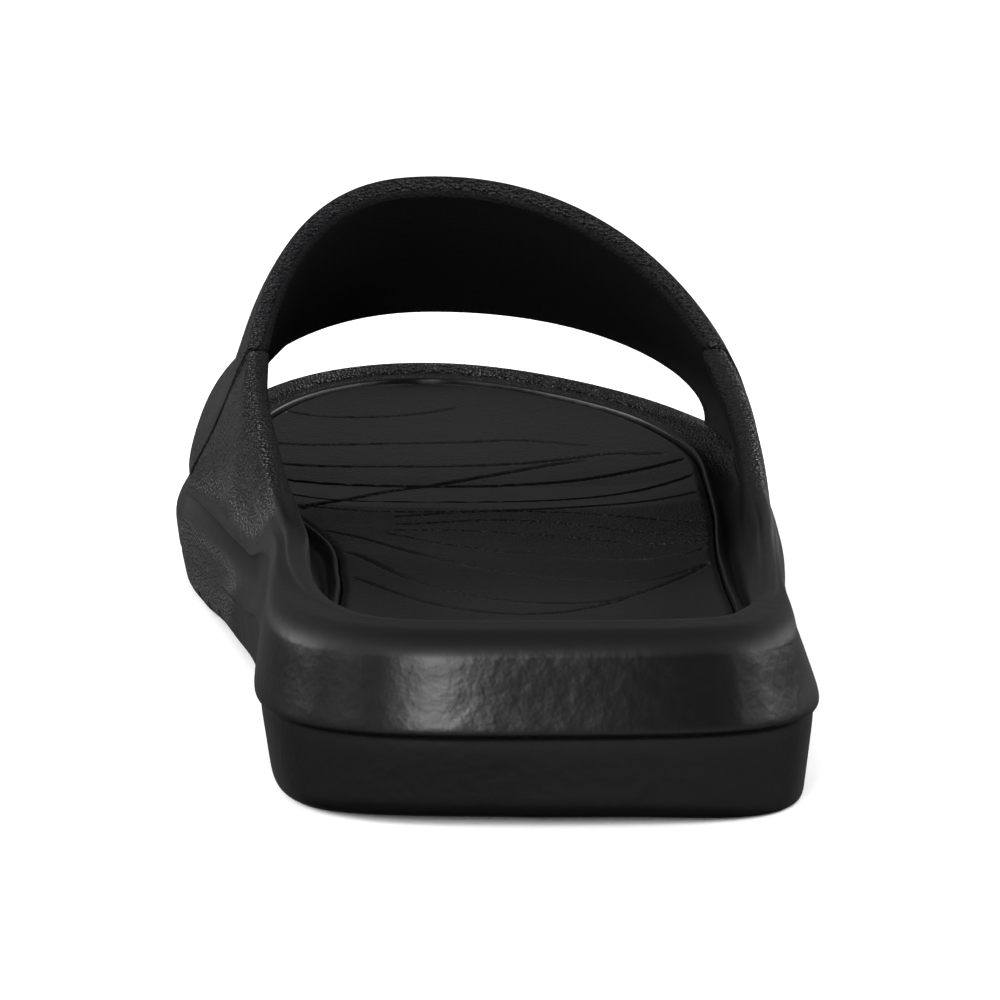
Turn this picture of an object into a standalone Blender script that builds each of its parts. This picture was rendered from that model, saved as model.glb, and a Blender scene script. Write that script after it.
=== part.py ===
# Sport slide sandal for the right foot, moulded in one colour of foam
# X runs across to the lateral side, Y along the foot to the toes, Z up from the ground

import math

import bpy
import bmesh

# Driving sizes of the sole, in metres
LENGTH = 0.290
HEEL_WIDTH = 0.0862
HEEL_OFFSET = 0.0006
BALL_MEDIAL = 0.0612
BALL_LATERAL = 0.0515
TOE_TIP_OFFSET = 0.014
HEEL_ROUND = 0.047
COLLAR_HEIGHT = 0.0295
WING_HEIGHT = 0.0508
TOE_HEIGHT = 0.030
TOE_SPRING = 0.010
WAIST_LIFT = 0.0018

# Sizes of the sole's side, from the ground up
RIDGE_HEIGHT = 0.0143
BULGE_HEIGHT = 0.0195
CREASE_HEIGHT = 0.025
CORNER_HEIGHT = 0.0018
TREAD_ROUND = 0.0016
HEEL_BEVEL = 0.0010
RIDGE_STEP = 0.0008
SIDE_TAPER = 0.0028
SIDE_LEAN = 0.0042
RIM_LEAN = 0.0055
RIM_WALL = 0.0058
RIM_ROUND = 0.0012
RIM_DRAFT = 0.0005

# Sizes of the strap, the upper of the shoe
JOINT_HEIGHT = 0.021
INSTEP_HEIGHT = 0.0801
CROWN_OFFSET = 0.013
FOOT_LEAN = 0.0020
STRAP_WALL = 0.0038
STRAP_ROUND = 0.0005

# Sizes of the footbed and its recess
FOOTBED_BORDER = 0.0135
FOOTBED_THICKNESS = 0.0042
FOOTBED_ROUND = 0.0008
LIP_HEIGHT = 0.020
LIP_DROP = 0.0020
GUTTER_DEPTH = 0.0018
GUTTER_SHELF = 0.0012
CUP_DEPTH = 0.0030
CLEARANCE = 0.0003

# Sizes of the tread lugs
GROOVE_DEPTH = 0.0025
GROOVE_WIDTH = 0.0034
LUG_PITCH = 0.0130
GROOVE_WAVE = 0.0030
HEEL_GROOVE_REACH = 0.031
BALL_GROOVE_REACH = 0.073

# Places along the foot, as shares of its length
WING_AT = 0.517
WING_STARTS_MEDIAL = 0.480
WING_STARTS_LATERAL = 0.400
BALL_AT = 0.717
JOINT_BEHIND_BALL = 0.045
JOINT_AT = BALL_AT - JOINT_BEHIND_BALL
SPRING_AT = 0.720
CROWN_REAR_AT = 0.545
CROWN_FRONT_AT = 0.783
FOOT_FRONT_AT = 0.803
HEEL_GROOVES_AT = (0.075, 0.31)
BALL_GROOVES_AT = (0.53, 0.94)

# Shapes of the rounded ends, with no size of their own
HEEL_SQUARE_MEDIAL = 3.3
HEEL_SQUARE_LATERAL = 4.2
TOE_TAPER_MEDIAL = -0.08
TOE_TAPER_LATERAL = 0.27
JOINT_SHARPNESS = 0.35

MEDIAL = -1
LATERAL = 1

# Numbers of faces round and across
HEEL_FACES = 10
TOE_FACES = 15
SIDE_FACES = (8, 8, 7, 2)
TREAD_STRIPS = 6
BED_STRIPS = 12
STRAP_FACES = 10
WING_FACES = 8
CROWN_FACES = 14
GROOVE_BENDS = 8

# How the widest line opens from the heel's half width (0) to the ball's (1)
PLAN = [
    dict(along=0.162, medial=0.00, lateral=0.00),
    dict(along=0.276, medial=0.00, lateral=0.03),
    dict(along=0.379, medial=0.14, lateral=0.22),
    dict(along=0.469, medial=0.37, lateral=0.44),
    dict(along=0.552, medial=0.59, lateral=0.70),
    dict(along=0.628, medial=0.82, lateral=0.90),
    dict(along=0.672, medial=0.95, lateral=0.98),
    dict(along=0.717, medial=1.00, lateral=1.00),
]

# Heights of the side's lines above the tread, as shares of the heel's own heights
SIDE_HEIGHTS = [
    dict(along=0.00, ridge=1.00, bulge=1.00, crease=1.00),
    dict(along=0.33, ridge=0.98, bulge=0.99, crease=0.99),
    dict(along=0.39, ridge=0.80, bulge=0.82, crease=0.84),
    dict(along=0.47, ridge=0.72, bulge=0.78, crease=0.82),
    dict(along=0.55, ridge=0.64, bulge=0.77, crease=0.80),
    dict(along=0.63, ridge=0.58, bulge=0.77, crease=0.77),
    dict(along=0.69, ridge=0.56, bulge=0.76, crease=0.73),
    dict(along=0.81, ridge=0.56, bulge=0.74, crease=0.78),
    dict(along=0.91, ridge=0.56, bulge=0.69, crease=0.74),
    dict(along=1.00, ridge=0.56, bulge=0.64, crease=0.66),
]

# How far the medial side stands in from the widest line: the tread's corner as a share of
# SIDE_TAPER, the ridge, bulge and crease of SIDE_LEAN, and the rim of RIM_LEAN
MEDIAL_SIDE = [
    dict(along=0.00, corner=0.95, ridge=0.00, bulge=0.22, crease=0.43, rim=1.43),
    dict(along=0.045, corner=0.94, ridge=0.00, bulge=0.22, crease=0.43, rim=1.76),
    dict(along=0.10, corner=0.92, ridge=0.00, bulge=0.22, crease=0.43, rim=1.58),
    dict(along=0.16, corner=0.90, ridge=0.00, bulge=0.22, crease=0.43, rim=1.20),
    dict(along=0.26, corner=0.76, ridge=0.00, bulge=0.27, crease=0.42, rim=0.78),
    dict(along=0.34, corner=0.60, ridge=0.00, bulge=0.32, crease=0.40, rim=0.80),
    dict(along=0.39, corner=0.40, ridge=0.05, bulge=0.52, crease=0.30, rim=0.92),
    dict(along=0.47, corner=0.40, ridge=0.10, bulge=0.55, crease=0.30, rim=1.03),
    dict(along=0.56, corner=0.50, ridge=0.15, bulge=0.30, crease=0.40, rim=1.05),
    dict(along=0.63, corner=0.70, ridge=0.20, bulge=0.08, crease=0.57, rim=0.55),
    dict(along=0.68, corner=0.78, ridge=0.22, bulge=0.00, crease=0.62, rim=0.50),
    dict(along=0.73, corner=0.82, ridge=0.22, bulge=0.00, crease=0.78, rim=0.60),
    dict(along=0.81, corner=0.90, ridge=0.22, bulge=0.00, crease=1.00, rim=0.80),
    dict(along=0.91, corner=1.00, ridge=0.20, bulge=0.00, crease=0.80, rim=0.66),
    dict(along=1.00, corner=1.07, ridge=0.20, bulge=0.00, crease=0.36, rim=0.50),
]

# The same for the lateral side
LATERAL_SIDE = [
    dict(along=0.00, corner=0.80, ridge=0.00, bulge=0.22, crease=0.43, rim=1.43),
    dict(along=0.045, corner=0.80, ridge=0.01, bulge=0.32, crease=0.62, rim=1.70),
    dict(along=0.10, corner=0.80, ridge=0.02, bulge=0.44, crease=0.94, rim=1.26),
    dict(along=0.16, corner=0.85, ridge=0.02, bulge=0.44, crease=0.98, rim=0.98),
    dict(along=0.23, corner=0.80, ridge=0.00, bulge=0.34, crease=0.74, rim=0.74),
    dict(along=0.34, corner=0.50, ridge=0.00, bulge=0.26, crease=0.40, rim=0.53),
    dict(along=0.39, corner=0.30, ridge=0.00, bulge=0.46, crease=0.45, rim=0.58),
    dict(along=0.47, corner=0.28, ridge=0.00, bulge=0.50, crease=0.62, rim=0.90),
    dict(along=0.56, corner=0.28, ridge=0.00, bulge=0.46, crease=0.86, rim=1.10),
    dict(along=0.63, corner=0.28, ridge=0.00, bulge=0.42, crease=0.96, rim=0.80),
    dict(along=0.69, corner=0.30, ridge=0.00, bulge=0.38, crease=1.00, rim=0.77),
    dict(along=0.81, corner=0.60, ridge=0.02, bulge=0.16, crease=0.90, rim=0.80),
    dict(along=0.91, corner=0.90, ridge=0.12, bulge=0.03, crease=0.56, rim=0.62),
    dict(along=1.00, corner=1.07, ridge=0.20, bulge=0.00, crease=0.36, rim=0.50),
]

# The rim's wall as a share of RIM_WALL, and the footbed's edge of FOOTBED_BORDER
RIM = [
    dict(along=0.00, medial=0.46, lateral=0.46, bed_medial=1.00, bed_lateral=1.00),
    dict(along=0.045, medial=0.46, lateral=0.46, bed_medial=1.12, bed_lateral=1.07),
    dict(along=0.10, medial=0.46, lateral=0.46, bed_medial=1.06, bed_lateral=0.96),
    dict(along=0.16, medial=0.48, lateral=0.47, bed_medial=0.97, bed_lateral=0.85),
    dict(along=0.24, medial=0.62, lateral=0.48, bed_medial=0.95, bed_lateral=0.79),
    dict(along=0.34, medial=0.72, lateral=0.50, bed_medial=1.05, bed_lateral=0.83),
    dict(along=0.40, medial=0.70, lateral=0.54, bed_medial=1.18, bed_lateral=0.88),
    dict(along=0.45, medial=0.68, lateral=0.61, bed_medial=1.26, bed_lateral=0.90),
    dict(along=0.52, medial=0.66, lateral=0.66, bed_medial=1.20, bed_lateral=0.93),
    dict(along=0.60, medial=0.66, lateral=0.66, bed_medial=1.06, bed_lateral=1.00),
    dict(along=0.67, medial=0.66, lateral=0.66, bed_medial=1.02, bed_lateral=1.05),
    dict(along=0.73, medial=0.66, lateral=0.66, bed_medial=1.00, bed_lateral=1.04),
    dict(along=0.82, medial=0.50, lateral=0.52, bed_medial=0.86, bed_lateral=0.93),
    dict(along=0.90, medial=0.36, lateral=0.38, bed_medial=0.74, bed_lateral=0.74),
    dict(along=1.00, medial=0.34, lateral=0.34, bed_medial=0.69, bed_lateral=0.69),
]

# Where the upper face turns in towards the rim: how far up it and how far in, as shares
SHOULDER = [
    dict(along=0.00, up=0.70, inwards=0.10),
    dict(along=0.12, up=0.70, inwards=0.12),
    dict(along=0.24, up=0.60, inwards=0.20),
    dict(along=0.36, up=0.50, inwards=0.32),
    dict(along=1.00, up=0.50, inwards=0.45),
]

# How the rim climbs from the collar (0) to the wing's peak (1)
WING_RISE = [
    dict(along=0.360, rise=0.00),
    dict(along=0.410, rise=0.05),
    dict(along=0.448, rise=0.17),
    dict(along=0.476, rise=0.36),
    dict(along=0.497, rise=0.62),
    dict(along=0.517, rise=1.00),
]

# The recess lip's extra height towards the heel, as a share of LIP_DROP, and the
# gutter's depth beside it as a share of GUTTER_DEPTH
BED_EDGE = [
    dict(along=0.00, lift=1.00, gutter=0.00),
    dict(along=0.19, lift=0.80, gutter=0.05),
    dict(along=0.26, lift=0.50, gutter=1.00),
    dict(along=0.40, lift=0.05, gutter=1.00),
    dict(along=0.72, lift=0.00, gutter=1.00),
    dict(along=0.82, lift=0.00, gutter=0.10),
    dict(along=1.00, lift=0.00, gutter=0.00),
]

# How deep the footbed dips below its edge, as a share of CUP_DEPTH, and how much of that
# dip the medial arch fills
BED_DIP = [
    dict(along=0.00, dip=0.30, arch=0.00),
    dict(along=0.13, dip=1.00, arch=0.00),
    dict(along=0.30, dip=0.75, arch=0.35),
    dict(along=0.45, dip=0.55, arch=0.90),
    dict(along=0.60, dip=0.65, arch=0.40),
    dict(along=0.72, dip=0.85, arch=0.05),
    dict(along=0.85, dip=0.70, arch=0.00),
    dict(along=1.00, dip=0.20, arch=0.00),
]

# The strap's arch: the crown's height as a share of INSTEP_HEIGHT, how square each side of
# the arch is, 2 being an ellipse, and the medial foot's stand behind the crease, of FOOT_LEAN
ARCH = [
    dict(along=0.350, crown=1.000, medial=2.52, lateral=2.02, foot=1.00),
    dict(along=0.545, crown=1.000, medial=2.52, lateral=2.02, foot=1.00),
    dict(along=0.593, crown=0.932, medial=2.06, lateral=2.02, foot=0.60),
    dict(along=0.631, crown=0.873, medial=1.74, lateral=2.02, foot=0.20),
    dict(along=0.672, crown=0.810, medial=1.54, lateral=2.02, foot=0.00),
    dict(along=0.720, crown=0.735, medial=1.66, lateral=2.04, foot=0.00),
    dict(along=0.786, crown=0.632, medial=2.12, lateral=2.06, foot=0.00),
    dict(along=0.850, crown=0.532, medial=2.20, lateral=2.06, foot=0.00),
]


def clear_scene():
    for item in list(bpy.data.objects):
        bpy.data.objects.remove(item, do_unlink=True)


def mix(a, b, t):
    return a + (b - a) * t


def ease(low, high, value):
    t = min(max((value - low) / (high - low), 0.0), 1.0)
    return t * t * (3.0 - 2.0 * t)


def slope_at(rows, i, column):
    # A slope that never lets the curve pass its rows
    before = rows[i]["along"] - rows[i - 1]["along"]
    after = rows[i + 1]["along"] - rows[i]["along"]
    left = (rows[i][column] - rows[i - 1][column]) / before
    right = (rows[i + 1][column] - rows[i][column]) / after
    if left * right <= 0.0:
        return 0.0
    return (before + after) / (before / left + after / right)


def read(rows, y, column):
    # A smooth curve through one column of a table, read at a place along the foot
    along = y / LENGTH
    if along <= rows[0]["along"]:
        return rows[0][column]
    if along >= rows[-1]["along"]:
        return rows[-1][column]
    i = max(k for k in range(len(rows) - 1) if rows[k]["along"] <= along)
    span = rows[i + 1]["along"] - rows[i]["along"]
    t = (along - rows[i]["along"]) / span
    start = slope_at(rows, i, column) if i > 0 else 0.0
    end = slope_at(rows, i + 1, column) if i + 2 < len(rows) else 0.0
    rise = rows[i + 1][column] - rows[i][column]
    a = start * span - rise
    b = rise - end * span
    return mix(rows[i][column], rows[i + 1][column], t) + t * (1 - t) * (a * (1 - t) + b * t)


def side_rows(side):
    return MEDIAL_SIDE if side == MEDIAL else LATERAL_SIDE


def side_name(side):
    return "medial" if side == MEDIAL else "lateral"


def ball_half(side):
    return BALL_MEDIAL if side == MEDIAL else BALL_LATERAL


def heel_half(side):
    return HEEL_WIDTH / 2 + side * HEEL_OFFSET


# Outline of the sole at its widest line

def heel_point(side, turn):
    # A squarish round heel, turn 0 at the back and 1 at the side
    angle = turn * math.pi / 2
    power = 2.0 / (HEEL_SQUARE_MEDIAL if side == MEDIAL else HEEL_SQUARE_LATERAL)
    x = heel_half(side) * math.sin(angle) ** power
    y = HEEL_ROUND * (1.0 - max(math.cos(angle), 0.0) ** power)
    return side * x, y


def toe_point(side, turn):
    # A quarter round from the ball to the toe tip, turn 0 at the ball and 1 at the tip
    angle = turn * math.pi / 2
    taper = TOE_TAPER_MEDIAL if side == MEDIAL else TOE_TAPER_LATERAL
    reach = ball_half(side) + side * TOE_TIP_OFFSET
    across = reach * math.cos(angle) * (1.0 - taper * math.sin(angle) ** 2)
    y = mix(BALL_AT * LENGTH, LENGTH, math.sin(angle))
    return side * across - TOE_TIP_OFFSET, y


def side_point(side, y):
    share = read(PLAN, y, side_name(side))
    return side * mix(heel_half(side), ball_half(side), share), y


def inward_of(curve, side, turn, step=0.001):
    # Unit direction into the shoe, square to a curve that runs forward
    x0, y0 = curve(side, max(turn - step, 0.0))
    x1, y1 = curve(side, min(turn + step, 1.0))
    dx, dy = x1 - x0, y1 - y0
    size = math.hypot(dx, dy)
    return -side * dy / size, side * dx / size


def even_turns(curve, side, count, samples=600):
    # Turns that part a curve into pieces of equal length
    points = [curve(side, k / samples) for k in range(samples + 1)]
    run = [0.0]
    for a, b in zip(points, points[1:]):
        run.append(run[-1] + math.hypot(b[0] - a[0], b[1] - a[1]))
    turns = []
    k = 0
    for n in range(count + 1):
        while k < samples - 1 and run[k + 1] < run[-1] * n / count:
            k += 1
        part = (run[-1] * n / count - run[k]) / (run[k + 1] - run[k])
        turns.append((k + min(part, 1.0)) / samples)
    return turns


def side_stations():
    # Places from the heel's round to the ball, with one exactly at each corner of the rim
    stops = (HEEL_ROUND, 0.379 * LENGTH, WING_AT * LENGTH, JOINT_AT * LENGTH, BALL_AT * LENGTH)
    places = []
    for start, stop, count in zip(stops, stops[1:], SIDE_FACES):
        places += [mix(start, stop, (n + 1) / count) for n in range(count)]
    return places[:-1]


def half_columns(side):
    # Columns up one side of the shoe: point on the widest line and direction inwards
    columns = []
    for turn in even_turns(heel_point, side, HEEL_FACES):
        x, y = heel_point(side, turn)
        nx, ny = inward_of(heel_point, side, turn)
        columns.append((side, x, y, nx, ny))
    for y in side_stations():
        x, y = side_point(side, y)
        columns.append((side, x, y, -side, 0.0))
    for turn in even_turns(toe_point, side, TOE_FACES):
        x, y = toe_point(side, turn)
        nx, ny = inward_of(toe_point, side, turn)
        columns.append((side, x, y, nx, ny))
    side_, x, y, nx, ny = columns[0]
    columns[0] = (side_, 0.0, 0.0, 0.0, 1.0)
    columns[-1] = (side_, -TOE_TIP_OFFSET, LENGTH, 0.0, -1.0)
    return columns


def all_columns():
    # Once round: heel centre, lateral side, toe tip and back down the medial side
    lateral = half_columns(LATERAL)
    medial = half_columns(MEDIAL)
    return lateral + medial[-2:0:-1]


def outline_x(side, y):
    # The widest line at a place along the foot, clear of the heel's round
    if y <= BALL_AT * LENGTH:
        return side_point(side, y)[0]
    rise = (y - BALL_AT * LENGTH) / (LENGTH * (1.0 - BALL_AT))
    return toe_point(side, math.asin(min(rise, 1.0)) * 2 / math.pi)[0]


# Heights along the foot

def ground(y):
    # The tread's lift: none under heel and ball, then the toe spring
    lift = max((y / LENGTH - SPRING_AT) / (1.0 - SPRING_AT), 0.0)
    return TOE_SPRING * lift ** 1.6


def waist(y):
    # The arch: the tread stands a little off the ground between heel and ball
    return WAIST_LIFT * ease(0.30, 0.42, y / LENGTH) * (1.0 - ease(0.50, 0.62, y / LENGTH))


def tread_height(x, y):
    # The tread's face, with a bevel at the back of the heel that fades to the lateral corner
    back = 1.0 - ease(0.012, 0.050, y / LENGTH)
    bevel = back * (1.0 - ease(0.30, 0.80, x / heel_half(LATERAL)))
    return ground(y) + waist(y) + HEEL_BEVEL * bevel


def border_height(y):
    # One straight line in side view, from the joint's foot to the toe tip
    start = JOINT_AT * LENGTH
    return mix(JOINT_HEIGHT, TOE_HEIGHT, (y - start) / (LENGTH - start))


def rim_height(y):
    # Collar, climbing wing, slanted joint and border, from heel to toe
    if y <= WING_AT * LENGTH:
        return mix(COLLAR_HEIGHT, WING_HEIGHT, read(WING_RISE, y, "rise"))
    if y <= JOINT_AT * LENGTH:
        t = (y / LENGTH - WING_AT) / (JOINT_AT - WING_AT)
        return mix(WING_HEIGHT, JOINT_HEIGHT, t)
    return border_height(y)


def lip_height(y):
    # The line round the footbed
    low = max(LIP_HEIGHT, border_height(y) - LIP_DROP)
    return low + LIP_DROP * read(BED_EDGE, y, "lift")


def gutter_height(y):
    return lip_height(y) - GUTTER_DEPTH * read(BED_EDGE, y, "gutter")


def bed_centre(y):
    return lip_height(y) - CUP_DEPTH * read(BED_DIP, y, "dip") - CLEARANCE


def recess_height(y):
    return bed_centre(y) - FOOTBED_THICKNESS


def side_height(y, column, heel_height):
    return ground(y) + heel_height * read(SIDE_HEIGHTS, y, column)


# The strap's arch, which the wings share

def arch_frame(side, y):
    # Half width, rise and squareness of one side of the arch
    lean = SIDE_LEAN * read(side_rows(side), y, "crease")
    if side == MEDIAL:
        lean += FOOT_LEAN * read(ARCH, y, "foot")
    half = abs(outline_x(side, y)) - lean + side * CROWN_OFFSET
    base = border_height(y) if y > JOINT_AT * LENGTH else JOINT_HEIGHT
    rise = INSTEP_HEIGHT * read(ARCH, y, "crown") - base
    return half, rise, base, read(ARCH, y, side_name(side))


def arch_point(side, y, angle, depth):
    # Point of the arch at a depth under its outer face, angle 0 at the foot and 90 at the crown
    half, rise, base, power = arch_frame(side, y)
    x = half * max(math.cos(angle), 0.0) ** (2.0 / power)
    z = rise * max(math.sin(angle), 0.0) ** (2.0 / power)
    nx = x ** (power - 1.0) / half ** power
    nz = z ** (power - 1.0) / rise ** power
    size = math.hypot(nx, nz)
    x -= depth * nx / size
    z -= depth * nz / size
    return side * x - CROWN_OFFSET, base + z


def arch_angle(side, y, height, depth):
    # The angle at which the arch reaches a height
    low, high = 0.0, math.pi / 2
    for _ in range(40):
        middle = (low + high) / 2
        if arch_point(side, y, middle, depth)[1] < height:
            low = middle
        else:
            high = middle
    return low


def arch_x(side, y, height, depth):
    return arch_point(side, y, arch_angle(side, y, height, depth), depth)[0]


def arch_inset(side, y, height, depth):
    return side * (outline_x(side, y) - arch_x(side, y, height, depth))


# Rings of the sole, each an inset from the widest line and a height

def wing_share(side, y):
    # Where the rim leaves its own lean for the arch's face
    start = WING_STARTS_LATERAL if side == LATERAL else WING_STARTS_MEDIAL
    return ease(start, WING_AT, y / LENGTH)


def on_wing(y):
    return HEEL_ROUND < y < JOINT_AT * LENGTH


def rim_outer(side, y):
    own = RIM_LEAN * read(side_rows(side), y, "rim")
    if not on_wing(y) or wing_share(side, y) == 0.0:
        return own
    return mix(own, arch_inset(side, y, rim_height(y), 0.0), wing_share(side, y))


def fin_height(y):
    crease = side_height(y, "crease", CREASE_HEIGHT)
    return mix(crease, rim_height(y), read(SHOULDER, y, "up"))


def fin_outer(side, y):
    # The shoulder of the upper face, between the crease and the rim
    crease = SIDE_LEAN * read(side_rows(side), y, "crease")
    own = mix(crease, rim_outer(side, y), read(SHOULDER, y, "inwards"))
    if not on_wing(y) or wing_share(side, y) == 0.0:
        return own
    return mix(own, arch_inset(side, y, fin_height(y), 0.0), wing_share(side, y))


def rim_wall(side, y):
    own = RIM_WALL * read(RIM, y, side_name(side))
    return mix(own, STRAP_WALL, wing_share(side, y)) if y < FOOT_FRONT_AT * LENGTH else own


def rim_inner(side, y):
    own = rim_outer(side, y) + rim_wall(side, y)
    if not on_wing(y) or wing_share(side, y) == 0.0:
        return own
    inner = arch_inset(side, y, rim_height(y), STRAP_WALL)
    return mix(own, inner, wing_share(side, y))


def bed_inset(side, y):
    return FOOTBED_BORDER * read(RIM, y, "bed_" + side_name(side))


def wall_foot(side, y):
    # Foot of the inner wall, where the gutter begins
    low = SIDE_LEAN * read(side_rows(side), y, "crease") + rim_wall(side, y)
    foot = mix(rim_inner(side, y) + RIM_DRAFT, low, wing_share(side, y))
    return min(foot, bed_inset(side, y) - 2 * GUTTER_SHELF)


def rim_round(y):
    # The rim's round edges shrink where the strap stands on it
    joint = ease(WING_AT, WING_AT + 0.02, y / LENGTH) * (1.0 - ease(0.80, 0.84, y / LENGTH))
    return RIM_ROUND * mix(1.0, JOINT_SHARPNESS, joint)


def rim_fall(y):
    # The toe border slopes inwards
    return LIP_DROP * 0.45 * ease(0.80, 0.90, y / LENGTH)


def corner_inset(side, y):
    return SIDE_TAPER * read(side_rows(side), y, "corner")


def tread_inset(side, y):
    # The tread's edge, rounded more at the back of the heel
    along = y / LENGTH
    if side == MEDIAL:
        return corner_inset(side, y) + TREAD_ROUND * mix(1.8, 1.0, ease(0.01, 0.10, along))
    return corner_inset(side, y) + TREAD_ROUND * mix(1.4, 0.3, ease(0.0, 0.03, along))


def ridge_inset(side, y):
    return SIDE_LEAN * read(side_rows(side), y, "ridge")


def below_ridge_inset(side, y):
    step = mix(1.0, 0.2, ease(0.33, 0.42, y / LENGTH))
    return ridge_inset(side, y) + RIDGE_STEP * step


def inner_middle(side, y):
    own = mix(rim_inner(side, y), wall_foot(side, y), 0.5)
    if not on_wing(y) or wing_share(side, y) == 0.0:
        return own
    inner = arch_inset(side, y, mix(rim_height(y), gutter_height(y), 0.5), STRAP_WALL)
    return mix(own, inner, wing_share(side, y))


SOLE_RINGS = [
    (tread_inset, tread_height),
    (corner_inset, lambda x, y: tread_height(x, y) + CORNER_HEIGHT),
    (below_ridge_inset, lambda x, y: side_height(y, "ridge", RIDGE_HEIGHT) - RIDGE_STEP),
    (ridge_inset, lambda x, y: side_height(y, "ridge", RIDGE_HEIGHT)),
    (lambda s, y: SIDE_LEAN * read(side_rows(s), y, "bulge"),
     lambda x, y: side_height(y, "bulge", BULGE_HEIGHT)),
    (lambda s, y: SIDE_LEAN * read(side_rows(s), y, "crease"),
     lambda x, y: side_height(y, "crease", CREASE_HEIGHT)),
    (fin_outer, lambda x, y: fin_height(y)),
    (rim_outer, lambda x, y: rim_height(y) - rim_round(y)),
    (lambda s, y: rim_outer(s, y) + rim_round(y), lambda x, y: rim_height(y)),
    (lambda s, y: rim_inner(s, y) - rim_round(y), lambda x, y: rim_height(y) - rim_fall(y)),
    (rim_inner, lambda x, y: rim_height(y) - rim_fall(y) - rim_round(y)),
    (inner_middle,
     lambda x, y: mix(rim_height(y) - rim_fall(y) - rim_round(y), gutter_height(y), 0.5)),
    (wall_foot, lambda x, y: gutter_height(y)),
    (lambda s, y: bed_inset(s, y) - GUTTER_SHELF, lambda x, y: gutter_height(y)),
    (bed_inset, lambda x, y: lip_height(y)),
    (bed_inset, lambda x, y: recess_height(y)),
]


def ring_points(columns, inset, height):
    points = []
    for side, x, y, nx, ny in columns:
        step = inset(side, y)
        px, py = x + nx * step, y + ny * step
        points.append((px, py, height(px, py)))
    return points


def add_ring(bm, points):
    return [bm.verts.new(point) for point in points]


def join_rings(bm, low, high):
    # A band of faces between two rings that run the same way round
    count = len(low)
    for k in range(count):
        n = (k + 1) % count
        bm.faces.new((low[k], low[n], high[n], high[k]))


def close_across(bm, ring, strips, height, upward):
    # Rows of faces from one side of a ring to the other, with a surface of their own
    count = len(ring)
    rows = []
    for k in range(1, count // 2):
        right, left = ring[k], ring[count - k]
        row = [right]
        for n in range(1, strips):
            spot = right.co.lerp(left.co, n / strips)
            row.append(bm.verts.new((spot.x, spot.y, height(spot, n / strips))))
        rows.append(row + [left])
    for near, far in zip(rows, rows[1:]):
        for n in range(strips):
            face = (near[n], far[n], far[n + 1], near[n + 1])
            bm.faces.new(face if upward else face[::-1])
    for tip, row, ahead in ((ring[0], rows[0], upward), (ring[count // 2], rows[-1], not upward)):
        for n in range(strips):
            face = (tip, row[n], row[n + 1])
            bm.faces.new(face if ahead else face[::-1])


def make_material(name, colour, roughness):
    material = bpy.data.materials.new(name)
    material.use_nodes = True
    shader = material.node_tree.nodes["Principled BSDF"]
    shader.inputs["Base Color"].default_value = (*colour, 1.0)
    shader.inputs["Roughness"].default_value = roughness
    shader.inputs["Metallic"].default_value = 0.0
    return material


def make_object(name, bm, material):
    # The origin of the whole part is under the middle of its bounding box
    mesh = bpy.data.meshes.new(name)
    bmesh.ops.recalc_face_normals(bm, faces=bm.faces[:])
    bm.to_mesh(mesh)
    bm.free()
    mesh.shade_smooth()
    mesh.set_sharp_from_angle(angle=math.radians(35))
    item = bpy.data.objects.new(name, mesh)
    item.location = ((BALL_MEDIAL - BALL_LATERAL) / 2, -LENGTH / 2, 0.0)
    bpy.context.collection.objects.link(item)
    if material:
        mesh.materials.append(material)
    return item


# Tread lugs

def groove_stations():
    # Grooves under the ball run out to the sides, those under the heel stop short of them
    places = []
    rows = ((HEEL_GROOVES_AT, HEEL_GROOVE_REACH), (BALL_GROOVES_AT, BALL_GROOVE_REACH))
    for (start, stop), reach in rows:
        y = start * LENGTH
        while y < stop * LENGTH:
            places.append((y, reach))
            y += LUG_PITCH
    return places


def add_groove(bm, place, reach):
    # A wavy bar that cuts one groove across the tread
    loops = []
    for n in range(GROOVE_BENDS + 1):
        x = mix(-reach, reach, n / GROOVE_BENDS)
        y = place + GROOVE_WAVE * math.cos(4 * math.pi * n / GROOVE_BENDS) / 2
        top = ground(place) + waist(place) + GROOVE_DEPTH
        low = ground(place) - 2 * GROOVE_DEPTH
        near, far = y - GROOVE_WIDTH / 2, y + GROOVE_WIDTH / 2
        corners = ((x, near, low), (x, far, low), (x, far, top), (x, near, top))
        loops.append([bm.verts.new(corner) for corner in corners])
    for a, b in zip(loops, loops[1:]):
        for k in range(4):
            n = (k + 1) % 4
            bm.faces.new((a[k], b[k], b[n], a[n]))
    bm.faces.new(loops[0])
    bm.faces.new(loops[-1][::-1])


def make_tread_cutter():
    bm = bmesh.new()
    for place, reach in groove_stations():
        add_groove(bm, place, reach)
    cutter = make_object("tread_grooves", bm, None)
    cutter.display_type = "WIRE"
    cutter.hide_render = True
    return cutter


def make_sole(columns, material):
    bm = bmesh.new()
    rings = [add_ring(bm, ring_points(columns, inset, height)) for inset, height in SOLE_RINGS]
    for low, high in zip(rings, rings[1:]):
        join_rings(bm, low, high)
    close_across(bm, rings[0], TREAD_STRIPS, lambda p, t: tread_height(p.x, p.y), False)
    close_across(bm, rings[-1], TREAD_STRIPS, lambda p, t: recess_height(p.y), True)
    sole = make_object("sole", bm, material)
    cut = sole.modifiers.new("tread", "BOOLEAN")
    cut.operation = "DIFFERENCE"
    cut.solver = "EXACT"
    cut.object = make_tread_cutter()
    return sole


# Footbed

def bed_surface(point, across):
    # Cupped across, with a low arch on the medial side
    sag = 1.0 - (2.0 * across - 1.0) ** 4
    fill = read(BED_DIP, point.y, "arch") * ease(0.35, 0.95, across)
    dip = CUP_DEPTH * read(BED_DIP, point.y, "dip") * sag * (1.0 - fill)
    return lip_height(point.y) - CLEARANCE - dip


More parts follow.
